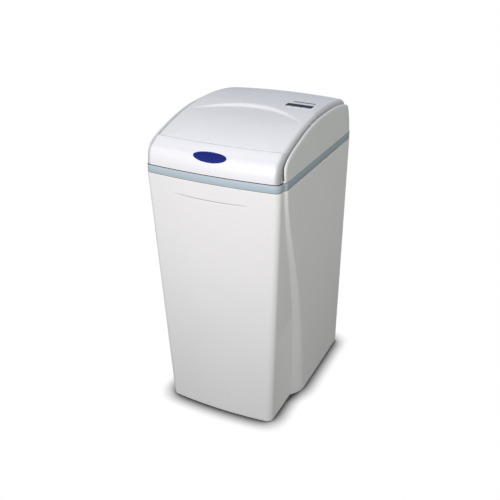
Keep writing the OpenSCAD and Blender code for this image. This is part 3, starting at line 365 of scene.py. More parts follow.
class EdgeGroup(ShaderGroup):
    """The group that paints shade onto a moulding, darker towards an edge of its own."""

    NAME = "edge_shade"
    INPUTS = {"Place": "Vector", "Along": "Vector", "Color": "Color", "Start": "Float", "End": "Float",
              "Dark": "Float"}
    OUTPUTS = {"Color": "Color"}

    @classmethod
    def wire(cls, make: Callable, link: Callable) -> None:
        """Scales the colour by a soft step along one direction, alike on both sides of the middle.

        Args:
            make: makes a node of a type.
            link: links two sockets.
        """
        given, out = make("NodeGroupInput"), make("NodeGroupOutput")
        away, along, scale = (make("ShaderNodeVectorMath") for _ in range(3))
        away.operation, along.operation, scale.operation = "ABSOLUTE", "DOT_PRODUCT", "SCALE"
        step = make("ShaderNodeMapRange")
        step.interpolation_type = "SMOOTHSTEP"
        step.inputs["To Min"].default_value = 1.0
        link(given.outputs["Place"], away.inputs[0])
        link(away.outputs[0], along.inputs[0])
        link(given.outputs["Along"], along.inputs[1])
        link(along.outputs["Value"], step.inputs["Value"])
        for source, target in (("Start", "From Min"), ("End", "From Max"), ("Dark", "To Max")):
            link(given.outputs[source], step.inputs[target])
        link(given.outputs["Color"], scale.inputs[0])
        link(step.outputs["Result"], scale.inputs["Scale"])
        link(scale.outputs[0], out.inputs["Color"])


@dataclass(frozen=True)
class Shade:
    """Painted shade, a soft darker edge: its direction, where it starts and ends in mm, and how dark it gets.
    """

    along: tuple
    start: float
    end: float
    dark: float


@dataclass(frozen=True)
class Finish:
    """One finish: a Principled surface whose tone, gloss and grain come from the shared groups."""

    name: str
    color: tuple
    roughness: float = 0.4
    metallic: float = 0.0
    coat: float = 0.0
    coat_roughness: float = 0.1
    specular: float = 0.5
    tone: float = 0.04
    gloss_spread: float = 0.06
    cloud_scale: float = 9.0
    speckle_scale: float = 1800.0
    grain_depth: float = 0.02
    streak: float = 1.0
    # Painted shade, if any: the colour gets darker towards an edge.
    shade: Shade | None = None

    def material(self) -> bpy.types.Material:
        """Returns the material, built on first use."""
        return bpy.data.materials.get(self.name) or self._build()

    def _build(self) -> bpy.types.Material:
        """Builds the node tree of this finish."""
        material = bpy.data.materials.new(self.name)
        material.use_nodes = True
        material.diffuse_color = (*self.color, 1)
        nodes, link = material.node_tree.nodes, material.node_tree.links.new
        surface = nodes["Principled BSDF"]
        surface.inputs["Metallic"].default_value = self.metallic
        surface.inputs["Coat Weight"].default_value = self.coat
        surface.inputs["Coat Roughness"].default_value = self.coat_roughness
        surface.inputs["Specular IOR Level"].default_value = self.specular
        place, grain = nodes.new("ShaderNodeTexCoord"), nodes.new("ShaderNodeGroup")
        grain.node_tree = GrainGroup.tree()
        link(place.outputs["Object"], grain.inputs["Place"])
        grain.inputs["Color"].default_value = (*self.color, 1)
        for name, value in (("Tone", self.tone), ("Roughness", self.roughness),
                            ("Gloss Spread", self.gloss_spread), ("Cloud Scale", self.cloud_scale),
                            ("Speckle Scale", self.speckle_scale), ("Streak", self.streak)):
            grain.inputs[name].default_value = value
        bump = nodes.new("ShaderNodeBump")
        bump.inputs["Distance"].default_value = MM
        bump.inputs["Strength"].default_value = self.grain_depth
        tint = grain.outputs["Color"]
        # Paints shade into the colour, darker towards an edge.
        if self.shade:
            edge = nodes.new("ShaderNodeGroup")
            edge.node_tree = EdgeGroup.tree()
            edge.inputs["Along"].default_value = self.shade.along
            for name, value in (("Start", self.shade.start * MM), ("End", self.shade.end * MM),
                                ("Dark", self.shade.dark)):
                edge.inputs[name].default_value = value
            link(place.outputs["Object"], edge.inputs["Place"])
            link(tint, edge.inputs["Color"])
            tint = edge.outputs["Color"]
        link(tint, surface.inputs["Base Color"])
        link(grain.outputs["Roughness"], surface.inputs["Roughness"])
        link(grain.outputs["Height"], bump.inputs["Height"])
        link(bump.outputs["Normal"], surface.inputs["Normal"])
        return material


# Painted shade: the cabinet's colour gets darker towards the bottom.
CABINET_WHITE = Finish("cabinet_white_moulding", (0.80, 0.795, 0.785), roughness=0.45, specular=0.35,
                       shade=Shade((0, 0, 1), 560, 0, 0.90))
PANEL_WHITE = Finish("side_panel_moulding", (0.735, 0.75, 0.73), roughness=0.38, specular=0.5)
# Painted shade: the lid's and the rear cover's colours get darker towards their rolled side edges beside the
# side panels.
COVER_WHITE = Finish("cover_white_moulding", (0.79, 0.795, 0.81), roughness=0.38, specular=0.5,
                     shade=Shade((1, 0, 0), 163, 178, 0.5))
REAR_GREY = Finish("rear_cover_moulding", (0.77, 0.785, 0.81), roughness=0.42, specular=0.4,
                   shade=Shade((1, 0, 0), 160, 179, 0.5))
# Painted shadow: dark rings on the floors of the slots beside the band.
SLOT_SHADOW = Finish("painted_slot_shadow", (0.10, 0.11, 0.11), roughness=0.8, specular=0.05)
# Painted shadow: grey ribbons lying in the smile line's groove and in the lid's crease.
SMILE_SHADOW = Finish("line_shade", (0.40, 0.39, 0.39), roughness=0.7, specular=0.1)
CREASE_SHADOW = Finish("crease_shade", (0.52, 0.52, 0.54), roughness=0.7, specular=0.1)
# The band is grey, and its sides are darker by painted shade.
BAND_GREY = Finish("rim_band_moulding", (0.44, 0.515, 0.565), roughness=0.45,
                   shade=Shade((1, 0, 0), 160, 188, 0.84))
BADGE_BLUE = Finish("badge_print", (0.008, 0.017, 0.165), roughness=0.55, specular=0.12)
PANEL_FILM = Finish("panel_film_sheet", (0.76, 0.775, 0.82), roughness=0.5, speckle_scale=3000)
PANEL_PRINT = Finish("panel_print", (0.05, 0.07, 0.26), roughness=0.6, specular=0.2)
LCD_GLASS = Finish("lcd_window_glass", (0.048, 0.068, 0.058), roughness=0.6, specular=0.02, tone=0.3,
                   grain_depth=0.0)
KEY_BLUE = Finish("key_moulding", (0.36, 0.42, 0.60), roughness=0.5)

SLOT_FINISHES = {
    "lcd_module": Finish("lcd_module_body", (0.05, 0.06, 0.05), roughness=0.6),
    "key_blue": KEY_BLUE,
    "board_green": Finish("board_mask", (0.02, 0.13, 0.05), roughness=0.35, coat=0.4, tone=0.2,
                          cloud_scale=120),
    "steel": Finish("zinc_steel", (0.58, 0.58, 0.56), roughness=0.32, metallic=1.0, tone=0.1, cloud_scale=60),
    "black_plastic": Finish("black_moulding", (0.018, 0.018, 0.02), roughness=0.5, grain_depth=0.05),
    "tank_blue": Finish("wound_tank", (0.035, 0.075, 0.16), roughness=0.38, coat=0.3, tone=0.35,
                        cloud_scale=60, streak=6.0, grain_depth=0.15, speckle_scale=160),
    "resin_amber": Finish("resin_beads", (0.33, 0.13, 0.025), roughness=0.55, tone=0.5, cloud_scale=400,
                          speckle_scale=900, grain_depth=0.4),
    "white_plastic": Finish("white_moulding", (0.74, 0.74, 0.71), roughness=0.45),
    "valve_grey": Finish("filled_moulding", (0.045, 0.047, 0.05), roughness=0.55, tone=0.15,
                         grain_depth=0.08),
    "gear_ivory": Finish("acetal_gear", (0.68, 0.62, 0.46), roughness=0.35),
    "rubber_black": Finish("seal_rubber", (0.012, 0.012, 0.012), roughness=0.75),
    "copper_brass": Finish("drawn_brass", (0.70, 0.45, 0.20), roughness=0.28, metallic=1.0, tone=0.12,
                           cloud_scale=50, grain_depth=0.04),
    "float_red": Finish("red_moulding", (0.42, 0.03, 0.025), roughness=0.42),
}


@dataclass
class Envelope:
    """The rules that the cabinet, the lid and the covers share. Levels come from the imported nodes."""

    front_w_rim: float = 366
    front_w_floor: float = 319
    bow: float = 10
    rake: float = 12
    corner_r: float = 15
    floor_corner_r: float = 19
    side_draft: float = 6
    rear_r: float = 9
    ridge_run: float = 124
    ridge_fall: float = 310
    ridge_power: float = 1.67
    step_rim: float = 7
    step_floor: float = 50
    step_start: float = 10.5
    step_power: float = 0.75
    inset_round: float = 0.6
    fin_t: float = 8
    fin_roll: float = 8
    fin_draft: float = 3.5
    fin_rise: float = 100
    lid_gap: float = 1.5
    lid_wall: float = 2.8
    edge_r: float = 13
    crease_run: float = 47
    facet_h: float = 99
    facet_fall: float = 36
    facet_power: float = 2.4
    facet_end_y: float = 20
    dome_h: float = 108
    dome_mid_y: float = 70
    dome_back: float = 156
    dome_fall: float = 12.5
    corner_fall: float = 5
    crown: float = 2
    seam_mid_y: float = 31
    seam_side_y: float = 8
    seam_gap: float = 2.4
    front_steps: int = 56
    corner_steps: int = 16
    step_steps: int = 33
    flat_steps: int = 10
    back_steps: int = 12
    half_w: float = field(init=False)
    half_d: float = field(init=False)
    rim_z: float = field(init=False)
    rim_top: float = field(init=False)
    lid_half: float = field(init=False)
    crease_y: float = field(init=False)
    crease_z: float = field(init=False)

    def __post_init__(self) -> None:
        """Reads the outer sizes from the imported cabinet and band."""
        self.half_w, self.half_d, self.rim_z = (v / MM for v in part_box("cabinet")[1])
        self.rim_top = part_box("rim_band")[1][2] / MM
        self.lid_half = self.half_w - self.fin_t - self.lid_gap
        self.crease_y = -self.half_d + self.crease_run
        self.crease_z = self.rim_top + self.facet_h - self.facet_fall

    def plan(self, z: float, inset: float = 0.0) -> np.ndarray:
        """Returns the cabinet's closed outline at a height, pulled in by an inset.

        Args:
            z: the height.
            inset: how far inside the outer face.

        Returns:
            Points of x and y, from the front centre to the right and round.
        """
        share = z / self.rim_z
        hw = lerp(self.front_w_floor, self.front_w_rim, share) / 2 - inset
        side = self.half_w - self.side_draft * (1 - share) - inset
        shrink = self.inset_round * inset
        rc, rr = lerp(self.floor_corner_r, self.corner_r, share) - shrink, self.rear_r - shrink
        yf = -self.half_d + self.rake * (1 - share) + inset
        yc = yf + self.bow * ((hw - rc) / hw) ** 2 + rc
        start = -self.half_d + self.bow + self.corner_r + self.step_start
        down = max(0, self.rim_z - z) / self.ridge_fall
        yi = start + self.ridge_run * (1 - math.exp(-down ** self.ridge_power))
        yr = yi + lerp(self.step_floor, self.step_rim, max(0, share) ** self.step_power)
        yb = self.half_d - inset
        x = np.linspace(0, hw - rc, self.front_steps, endpoint=False)
        front = np.stack([x, yf + self.bow * (x / hw) ** 2], axis=1)
        a = np.linspace(0, math.pi / 2, self.corner_steps, endpoint=False)
        corner = np.stack([hw - rc + rc * np.sin(a), yc - rc * np.cos(a)], axis=1)
        s = np.linspace(0, 1, self.step_steps)
        step = np.stack([lerp(hw, side, 1 - (1 - s) ** 2), lerp(yi, yr, s)], axis=1)
        y = np.linspace(yr, yb - rr, self.flat_steps)[1:-1]
        flat = np.stack([np.full_like(y, side), y], axis=1)
        rear = np.stack([side - rr + rr * np.cos(a), yb - rr + rr * np.sin(a)], axis=1)
        x = np.linspace(side - rr, 0, self.back_steps)
        back = np.stack([x, np.full_like(x, yb)], axis=1)
        half = np.vstack([front, corner, step, flat, rear, back])
        return np.vstack([half, half[-2:0:-1] * (-1, 1)])

    def ring(self, z: float, inset: float = 0.0, level: float | None = None) -> np.ndarray:
        """Returns the outline for a height as points in space, at that level or another one."""
        flat = self.plan(z, inset)
        return np.column_stack([flat, np.full(len(flat), z if level is None else level)])

    def lid_edge_x(self, z: float) -> float:
        """Returns half the lid's width at a height."""
        return self.lid_half - self.fin_draft * (z - self.rim_top) / self.fin_rise

    def dome(self, x: np.ndarray, y: np.ndarray) -> np.ndarray:
        """Returns the height of the crowned dome.

        Args:
            x: places across.
            y: places along.
        """
        along = ((y - self.dome_mid_y) / self.dome_back) ** 2
        sag = (self.crown + self.corner_fall * along) * (x / self.lid_half) ** 2
        return self.rim_top + self.dome_h - self.dome_fall * along - sag

    def facet(self, y: np.ndarray) -> np.ndarray:
        """Returns the height of the lid's sloping face at places along."""
        run = np.maximum(0, (self.facet_end_y - y) / (self.facet_end_y - self.crease_y))
        return self.rim_top + self.facet_h - self.facet_fall * run ** self.facet_power

    def seam_y(self, x: np.ndarray) -> np.ndarray:
        """Returns where the lid meets the rear cover at places across."""
        return lerp(self.seam_mid_y, self.seam_side_y, (x / self.lid_half) ** 2)

    def bow_back(self, x: np.ndarray) -> np.ndarray:
        """Returns how far the lid's front curves back at places across."""
        return self.bow * (x / self.lid_half) ** 2

    def columns(self, flat: int, roll: int) -> np.ndarray:
        """Returns the columns across a covering shell, left to right.

        Args:
            flat: steps across half the flat.
            roll: steps round the rolled edge.

        Returns:
            Rows of the share of the flat, of the edge radius, of its drop, of the skirt, and the side.
        """
        a = np.linspace(0, math.pi / 2, roll + 1)[1:]
        half = np.vstack([
            np.column_stack([np.linspace(0, 1, flat + 1), *np.zeros((3, flat + 1))]),
            np.column_stack([np.ones(roll), np.sin(a), 1 - np.cos(a), np.zeros(roll)]),
            [[1, 1, 1, 0.5], [1, 1, 1, 1]]])
        right = np.column_stack([half, np.ones(len(half))])
        left = right[:0:-1] * (1, 1, 1, 1, -1)
        return np.vstack([left, right])


def both_faces(outer: np.ndarray, inner: np.ndarray) -> np.ndarray:
    """Returns one closed ring: the outer face left to right, then the inner face back."""
    return np.vstack([outer, inner[::-1]])


@dataclass
class Cabinet:
    """The tapered salt cabinet and the grey band round its rim."""

    shape: Envelope
    wall: float = 3.5
    floor_t: float = 5
    foot_r: float = 2.5
    lip_r: float = 1.0
    turn_steps: int = 6
    first_z: float = 12
    lower_steps: int = 64
    upper_steps: int = 8
    inner_steps: int = 24
    fine_below: float = 7
    fine_above: float = 12
    fine_step: float = 0.35
    groove_z: float = 650.5
    groove_rise: float = 2.2
    groove_half: float = 105
    groove_depth: float = 0.8
    groove_width: float = 1.4
    groove_fade: float = 14
    line_w: float = 1.7
    line_t: float = 0.5
    line_sink: float = 0.55
    line_lift: float = 0.05
    line_power: int = 3
    line_rise: float = 1.5
    line_steps: int = 81
    band_inset: float = 0.5
    band_edge: float = 0.9
    band_round: float = 0.5
    band_mid: float = 0.3
    band_slot: float = 5
    band_gaps: tuple = (0.7, 1.9)
    shadow_t: float = 0.2
    shadow_lift: float = 0.02
    shadow_face: float = 0.45
    shadow_short: float = 0.05
    band_ring_w: float = 9

    def build(self) -> None:
        """Builds and dresses the cabinet, the painted shadow in its smile line, the band and the painted
        shadows in the band's slots.
        """
        settle(self.shell(), CABINET_WHITE.material(), Body.HOUSING, "cabinet_white", "cabinet")
        settle(self.line(), SMILE_SHADOW.material(), Body.HOUSING, "cabinet_white")
        settle(self.band(), BAND_GREY.material(), Body.HOUSING, "band_grey", "rim_band")
        settle(self.slot_shadows(), SLOT_SHADOW.material(), Body.HOUSING, "band_grey")

    def groove(self, ring: np.ndarray) -> np.ndarray:
        """Returns a ring with the front's shallow smile line pressed into it.

        Args:
            ring: the plain ring.
        """
        x, z = ring[:, 0], ring[:, 2]
        line = self.groove_z + self.groove_rise * (x / self.groove_half) ** 2
        across = np.exp(-((z - line) / self.groove_width) ** 2)
        along = 1 - ease((np.abs(x) - self.groove_half) / self.groove_fade + 1)
        ring = ring.copy()
        ring[:, 1] += np.where(ring[:, 1] < -self.shape.half_d / 2, self.groove_depth * across * along, 0)
        return ring

    def line(self) -> bpy.types.Object:
        """Returns a grey ribbon of painted shadow lying in the smile line's groove."""
        s = self.shape
        x = np.linspace(-self.groove_half, self.groove_half, self.line_steps)
        z = self.groove_z + self.groove_rise * (x / self.groove_half) ** 2
        half = lerp(s.front_w_floor, s.front_w_rim, z / s.rim_z) / 2
        y = -s.half_d + s.rake * (1 - z / s.rim_z) + s.bow * (x / half) ** 2
        fade = 1 - np.abs(x / self.groove_half) ** self.line_power
        y += self.line_sink * self.groove_depth * ease(fade * self.line_rise) - self.line_lift
        draft = Draft()
        middle, widths = np.column_stack([x, y, z]), self.line_w * fade + THIN
        draft.ribbon(middle, (0, 0, 1), (0, -1, 0), widths, self.line_t)
        return draft.mesh("smile_line_shadow")

    def shell(self) -> bpy.types.Object:
        """Returns the hollow cabinet, from its foot up to the rim and down inside to the floor."""
        top = self.shape.rim_z
        turn = np.linspace(0, math.pi / 2, self.turn_steps)
        foot = [(self.foot_r * (1 - math.cos(a)), self.foot_r * (1 - math.sin(a))) for a in turn]
        fine = np.arange(self.groove_z - self.fine_below, self.groove_z + self.fine_above, self.fine_step)
        lines = np.concatenate([np.linspace(self.first_z, fine[0] - 1, self.lower_steps), fine,
                                np.linspace(self.groove_z + self.fine_above + 2, top - self.lip_r,
                                            self.upper_steps)])
        lip = [(top - self.lip_r * (1 - math.sin(a)), self.lip_r * (1 - math.cos(a))) for a in turn[1:]]
        rings = [self.shape.ring(z, inset) for z, inset in foot]
        rings += [self.groove(self.shape.ring(z)) for z in lines]
        rings += [self.shape.ring(z, inset) for z, inset in lip]
        rings += [self.shape.ring(z, self.wall) for z in np.linspace(top, self.floor_t, self.inner_steps)]
        draft = Draft()
        draft.loft(np.array(rings), Ends.FAN)
        return draft.mesh("cabinet_shell", CURVED)

    def band(self) -> bpy.types.Object:
        """Returns the band: a ring with softened edges, parted from what is above and below by slots."""
        low, high = self.shape.rim_z, self.shape.rim_top
        face, edge, deep = self.band_inset, self.band_edge, self.band_ring_w
        sunk, bottom, top = face + self.band_slot, low + self.band_gaps[0], high - self.band_gaps[1]
        turn, mid, turn_mid = self.band_round, self.band_mid * edge, self.band_mid * self.band_round
        profile = [(deep, low), (sunk, low), (sunk, bottom), (face + edge, bottom),
                   (face + mid, bottom + mid), (face, bottom + edge), (face, top - turn),
                   (face + turn_mid, top - turn_mid), (face + turn, top),
                   (sunk, top), (sunk, high), (deep, high)]
        draft = Draft()
        draft.loft(np.array([self.shape.ring(low, inset, z) for inset, z in profile]), Ends.JOINED)
        return draft.mesh("rim_band_ring", CURVED)

    def slot_shadows(self) -> bpy.types.Object:
        """Returns dark rings of painted shadow on the floors of the two slots beside the band."""
        low, face = self.shape.rim_z, self.band_inset + self.shadow_face
        sunk = self.band_inset + self.band_slot - self.shadow_short
        draft = Draft()
        for z in (low + self.shadow_lift, self.shape.rim_top - self.band_gaps[1] + self.shadow_lift):
            profile = [(sunk, z), (face, z), (face, z + self.shadow_t), (sunk, z + self.shadow_t)]
            draft.loft(np.array([self.shape.ring(low, inset, z) for inset, z in profile]), Ends.JOINED)
        return draft.mesh("rim_band_slot_shadows", CURVED)


@dataclass
class TopCover:
    """The top cover: two side panels, the deck with its openings, the back wall and the partition."""

    shape: Envelope
    deck_t: float = 3
    deck_front: float = 9
    deck_lift: float = 0.01
    wall_lift: float = 0.5
    wall_in: float = 0.4
    partition_lift: float = 1
    edge_steps: int = 9
    bead_steps: int = 13
    back_past: float = 1.5
    back_side: float = 0.15
    salt_half: float = 148
    salt_y: tuple = (-214, -18)
    valve_half: float = 125
    valve_y: tuple = (10, 219)
    pipe_half: float = 125
    pipe_h: float = 56
    back_h: float = 66
    partition_y: float = 54
    partition_t: float = 2.5
    partition_h: float = 74
    back_t: float = 5
    back_cut: float = 26
    edge_line: tuple = (
        (-0.869, 0.01), (-0.876, 0.19), (-0.863, 0.35), (-0.816, 0.47), (-0.727, 0.575), (-0.584, 0.69),
        (-0.335, 0.85), (-0.069, 0.95), (0.143, 0.975), (0.367, 0.975), (0.571, 0.945), (0.735, 0.885),
        (0.862, 0.805), (0.902, 0.755), (0.923, 0.67), (0.944, 0.5), (0.962, 0.3), (0.985, 0.08))

    def build(self) -> None:
        """Builds and dresses the cover."""
        draft = Draft()
        for side in (-1, 1):
            draft.loft(self.panel() * (side, 1, 1), Ends.STRIP)
        self.deck(draft)
        moulding = draft.mesh("top_cover_moulding", 40)
        settle(moulding, PANEL_WHITE.material(), Body.HOUSING, "cover_white", "top_cover")

    def panel(self) -> np.ndarray:
        """Returns the rings of the right side panel, each from its base over the beaded edge."""
        s = self.shape
        line = spline([(y * s.half_d, s.rim_top + h * s.fin_rise) for y, h in self.edge_line],
                      self.edge_steps)
        normal = outward(line)
        r = s.fin_t / 2
        turn = np.linspace(math.pi, 0, self.bead_steps)
        rings = []
        for i, (p, n) in enumerate(zip(line, normal)):
            base = lerp(line[0][0] + s.fin_t, s.half_d, i / (len(line) - 1))
            middle, x = p - n * s.fin_roll, self.panel_x(*p) - r
            foot = self.panel_x(base, s.rim_top)
            up = s.fin_roll * np.sin(turn)
            bead = np.column_stack([x + r * np.cos(turn), middle[0] + n[0] * up, middle[1] + n[1] * up])
            rings.append(np.vstack([[(foot - s.fin_t, base, s.rim_top)], bead, [(foot, base, s.rim_top)]]))
        return np.array(rings)

    def panel_x(self, y: float, z: float) -> float:
        """Returns where the panel's outer face lies, drawn in round the rear corner.

        Args:
            y: the place along.
            z: the height.
        """
        s = self.shape
        over = max(0.0, y - s.half_d + s.rear_r)
        corner = s.rear_r - math.sqrt(max(0.0, s.rear_r ** 2 - over ** 2))
        return s.half_w - s.fin_draft * (z - s.rim_top) / s.fin_rise - corner

    def deck(self, draft: Draft) -> None:
        """Adds the deck, the back wall and the partition to the draft.

        Args:
            draft: the draft that takes them.
        """
        s = self.shape
        side, front = s.half_w - s.fin_t / 2, -s.half_d + s.bow + self.deck_front
        low = s.rim_top
        xs = [-side, -self.salt_half, -self.valve_half, self.valve_half, self.salt_half, side]
        ys = [front, *self.salt_y, *self.valve_y, s.half_d - self.back_t / 2 - s.rear_r]
        gaps = {(1, 1), (2, 1), (3, 1), (2, 3), (0, 0), (4, 0)}
        draft.plate(xs, ys, gaps, low + self.deck_lift, low + self.deck_t)
        half = s.half_w - s.rear_r + self.back_past
        wall = Draft()
        foot, inner = low + self.wall_lift, half - self.back_cut
        wall.plate([-half, -inner, -self.pipe_half, self.pipe_half, inner, half],
                   [foot, low + self.deck_t, low + self.deck_t + self.pipe_h, foot + self.back_h],
                   {(2, 1)}, s.half_d - self.back_t + self.wall_in, s.half_d - self.wall_in)
        low_end = [self.back_side if abs(x) > inner + 1 else 1 for x, _, _ in wall.points]
        points = [(x, z, foot + (y - foot) * share) for (x, y, z), share in zip(wall.points, low_end)]
        draft.add(points, wall.faces)
        across = s.lid_edge_x(s.rim_top + s.dome_h) - s.lid_wall - s.lid_gap
        foot = low + self.partition_lift
        draft.box((-across, self.partition_y, foot),
                  (across, self.partition_y + self.partition_t, foot + self.partition_h))


@dataclass
class SaltLid:
    """The hinged salt lid with its bullnosed front, sloping face and crescent, and the oval badge."""

    shape: Envelope
    skirt_h: float = 24
    nose: tuple = ((0.3, 0.4), (1.5, 16), (5.5, 31), (12.5, 42.5))
    brow: tuple = ((24, -13), (36, -5.6))
    nose_steps: int = 12
    flat_steps: int = 36
    roll_steps: int = 9
    fine_steps: int = 10
    fine_step: float = 0.25
    plain_from: float = 3
    plain_steps: int = 130
    upright_by: float = 6
    crescent_half: float = 150
    crescent_mid_y: float = 8
    crescent_tip_y: float = -52
    crescent_run: float = 13.5
    crescent_least: float = 4
    crease_depth: float = 1.0
    crease_front: float = 1.3
    crease_back: float = 0.9
    line_w: float = 1.5
    line_t: float = 0.6
    line_sink: float = 0.45
    line_run: tuple = (0.91, 0.41)
    line_power: int = 6
    line_steps: int = 81
    pin_y: float = -30
    pin_drop: float = 11
    ear_r: float = 4.2
    ear_l: float = 8
    ear_sunk: float = 0.6
    ear_bore_r: float = 2.55
    badge_w: float = 89
    badge_h: float = 28
    badge_t: float = 1.4
    badge_up: float = 44
    badge_gap: float = 0.3
    badge_foot: float = 0.35
    badge_under: tuple = (0.02, 0.5, 0.985)
    badge_rim: tuple = ((1, 0.75), (0.99, 0.95), (0.975, 1))
    badge_face: tuple = (0.955, 0.8, 0.6, 0.4, 0.2, 0.02)
    badge_steps: int = 96
    front: np.ndarray = field(init=False)
    normals: np.ndarray = field(init=False)
    lengths: np.ndarray = field(init=False)

    def __post_init__(self) -> None:
        """Works out the front profile at the centre line, its normals and the way along it."""
        s = self.shape
        knots = [(back - s.half_d, s.rim_top + up) for back, up in self.nose]
        knots += [(back - s.half_d, s.crease_z + up) for back, up in self.brow]
        self.front = spline([*knots, (s.crease_y, s.crease_z)], self.nose_steps)
        self.normals = outward(self.front)
        steps = np.linalg.norm(np.diff(self.front, axis=0), axis=1)
        self.lengths = np.concatenate([[0], np.cumsum(steps)])

    def build(self) -> None:
        """Builds and dresses the lid, the painted shadow along its crease line, and the badge."""
        settle(self.lid(), COVER_WHITE.material(), Body.LID, "cover_white", "salt_lid")
        settle(self.line(), CREASE_SHADOW.material(), Body.LID, "cover_white")
        settle(self.badge(), BADGE_BLUE.material(), Body.LID, "badge_blue", "badge")

    def crescent(self, x: np.ndarray, y: np.ndarray) -> np.ndarray:
        """Returns 1 on the sloping face, 0 on the dome, and the riser between them.

        Args:
            x: places across.
            y: places along.
        """
        k = (x / self.crescent_half) ** 2
        low = lerp(self.crescent_mid_y, self.crescent_tip_y, k)
        run = np.maximum(self.crescent_least, self.crescent_run * (1 - k))
        return 1 - ease((y - low) / run)

    def crease(self, away: float) -> float:
        """Returns how deep the soft crease line is at a distance behind it, negative in front."""
        reach = self.crease_front if away < 0 else self.crease_back
        return self.crease_depth * math.exp(-(away / reach) ** 2)

    def lid(self) -> bpy.types.Object:
        """Returns the lid's shell with its two hinge ears."""
        s = self.shape
        columns = s.columns(self.flat_steps, self.roll_steps)
        rings = [both_faces(*(self.front_row(p, n, columns, w, self.crease(far - self.lengths[-1]))
                              for w in (0, s.lid_wall)))
                 for p, n, far in list(zip(self.front, self.normals, self.lengths))[:-1]]
        span = s.seam_mid_y - s.crease_y
        stations = np.concatenate([np.arange(self.fine_steps) * self.fine_step / span,
                                   np.linspace(self.plain_from / span, 1, self.plain_steps)])
        rings += [both_faces(*(self.top_row(t, self.normals[-1], columns, w, self.crease(t * span))
                               for w in (0, s.lid_wall))) for t in stations]
        draft = Draft()
        draft.loft(np.array(rings), Ends.STRIP)
        level = s.rim_top + s.fin_rise - self.pin_drop
        inner = s.lid_edge_x(level) - s.lid_wall - self.ear_l
        outer = s.lid_edge_x(level) - s.lid_wall + self.ear_sunk
        tube = [(self.ear_bore_r, inner), (self.ear_r, inner), (self.ear_r, outer), (self.ear_bore_r, outer)]
        for side in (-1, 1):
            draft.lathe([(r, side * h) for r, h in tube], (0, self.pin_y, level), "X")
        return draft.mesh("salt_lid_moulding", CURVED)

    def line(self) -> bpy.types.Object:
        """Returns a pale grey ribbon of painted shadow lying in the crease line."""
        s = self.shape
        half = s.lid_edge_x(s.crease_z) - s.edge_r
        x = np.linspace(-half, half, self.line_steps)
        y = s.crease_y + s.bow_back(x)
        middle = np.column_stack([x, y, np.full(self.line_steps, s.crease_z - self.line_sink)])
        along, up = self.line_run
        draft = Draft()
        widths = self.line_w * (1 - (x / half) ** self.line_power) + THIN
        draft.ribbon(middle, (0, along, up), (0, -up, along), widths, self.line_t)
        return draft.mesh("crease_line_shadow")

    def drop(self, columns: np.ndarray, w: float, dip: float) -> np.ndarray:
        """Returns how far each point of a row lies below the lid's crown, at a depth w and a crease dip."""
        r = self.shape.edge_r
        return w + dip * (1 - columns[:, 1]) + columns[:, 2] * (r - w) + columns[:, 3] * (self.skirt_h - r)

    def front_row(self, p: np.ndarray, n: np.ndarray, columns: np.ndarray, w: float,
                  dip: float) -> np.ndarray:
        """Returns one row across the bullnose.

        Args:
            p: the profile's point at the centre line, y and z.
            n: its outward normal.
            columns: the columns across the shell.
            w: depth below the outer face.
            dip: extra depth of the crease line.

        Returns:
            The row's points, left to right.
        """
        s = self.shape
        x = columns[:, 4] * (columns[:, 0] * (s.lid_edge_x(p[1]) - s.edge_r) + columns[:, 1] * (s.edge_r - w))
        drop = self.drop(columns, w, dip)
        return np.column_stack([x, p[0] + s.bow_back(x) - n[0] * drop, p[1] - n[1] * drop])

    def top_row(self, t: float, n: np.ndarray, columns: np.ndarray, w: float, dip: float) -> np.ndarray:
        """Returns one row across the sloping face and the crescent.

        Args:
            t: share of the way from the crease to the seam.
            n: the outward normal at the crease.
            columns: the columns across the shell.
            w: depth below the outer face.
            dip: extra depth of the crease line.

        Returns:
            The row's points, left to right.
        """
        s = self.shape
        edge = s.lid_edge_x(s.facet(lerp(s.crease_y, s.seam_side_y, t)))
        x = columns[:, 4] * (columns[:, 0] * (edge - s.edge_r) + columns[:, 1] * (s.edge_r - w))
        bow = s.bow_back(x)
        y = lerp(s.crease_y + bow, s.seam_y(x), t)
        up = lerp(n, np.array((0.0, 1.0)), min(1, t * self.upright_by))
        up = up / np.linalg.norm(up)
        drop = self.drop(columns, w, dip)
        crown = s.dome(x, y)
        z = crown - self.crescent(x, y) * np.maximum(0, crown - s.facet(y - bow * (1 - t)))
        return np.column_stack([x, y - up[0] * drop, z - up[1] * drop])

    def badge(self) -> bpy.types.Object:
        """Returns the oval badge, bent round the bullnose, with a rolled rim."""
        angles = np.arange(self.badge_steps) / self.badge_steps * 2 * math.pi
        profile = (*self.front.T, *self.normals.T)

        def ring(share: float, lift: float) -> np.ndarray:
            """Returns an oval at a share of the full size, lifted off the lid.

            Args:
                share: the share.
                lift: the height above the lid.
            """
            x = self.badge_w / 2 * share * np.cos(angles)
            at = self.badge_up + self.badge_h / 2 * share * np.sin(angles)
            y, z, ny, nz = (np.interp(at, self.lengths, v) for v in profile)
            return np.column_stack([x, y + self.shape.bow_back(x) + ny * lift, z + nz * lift])

        rings = [ring(share, self.badge_gap) for share in self.badge_under]
        rings.append(ring(1, self.badge_gap + self.badge_foot * self.badge_t))
        rings += [ring(share, up * self.badge_t) for share, up in self.badge_rim]
        rings += [ring(share, self.badge_t) for share in self.badge_face]
        draft = Draft()
        draft.loft(np.array(rings), Ends.FAN)
        return draft.mesh("oval_badge", CURVED)


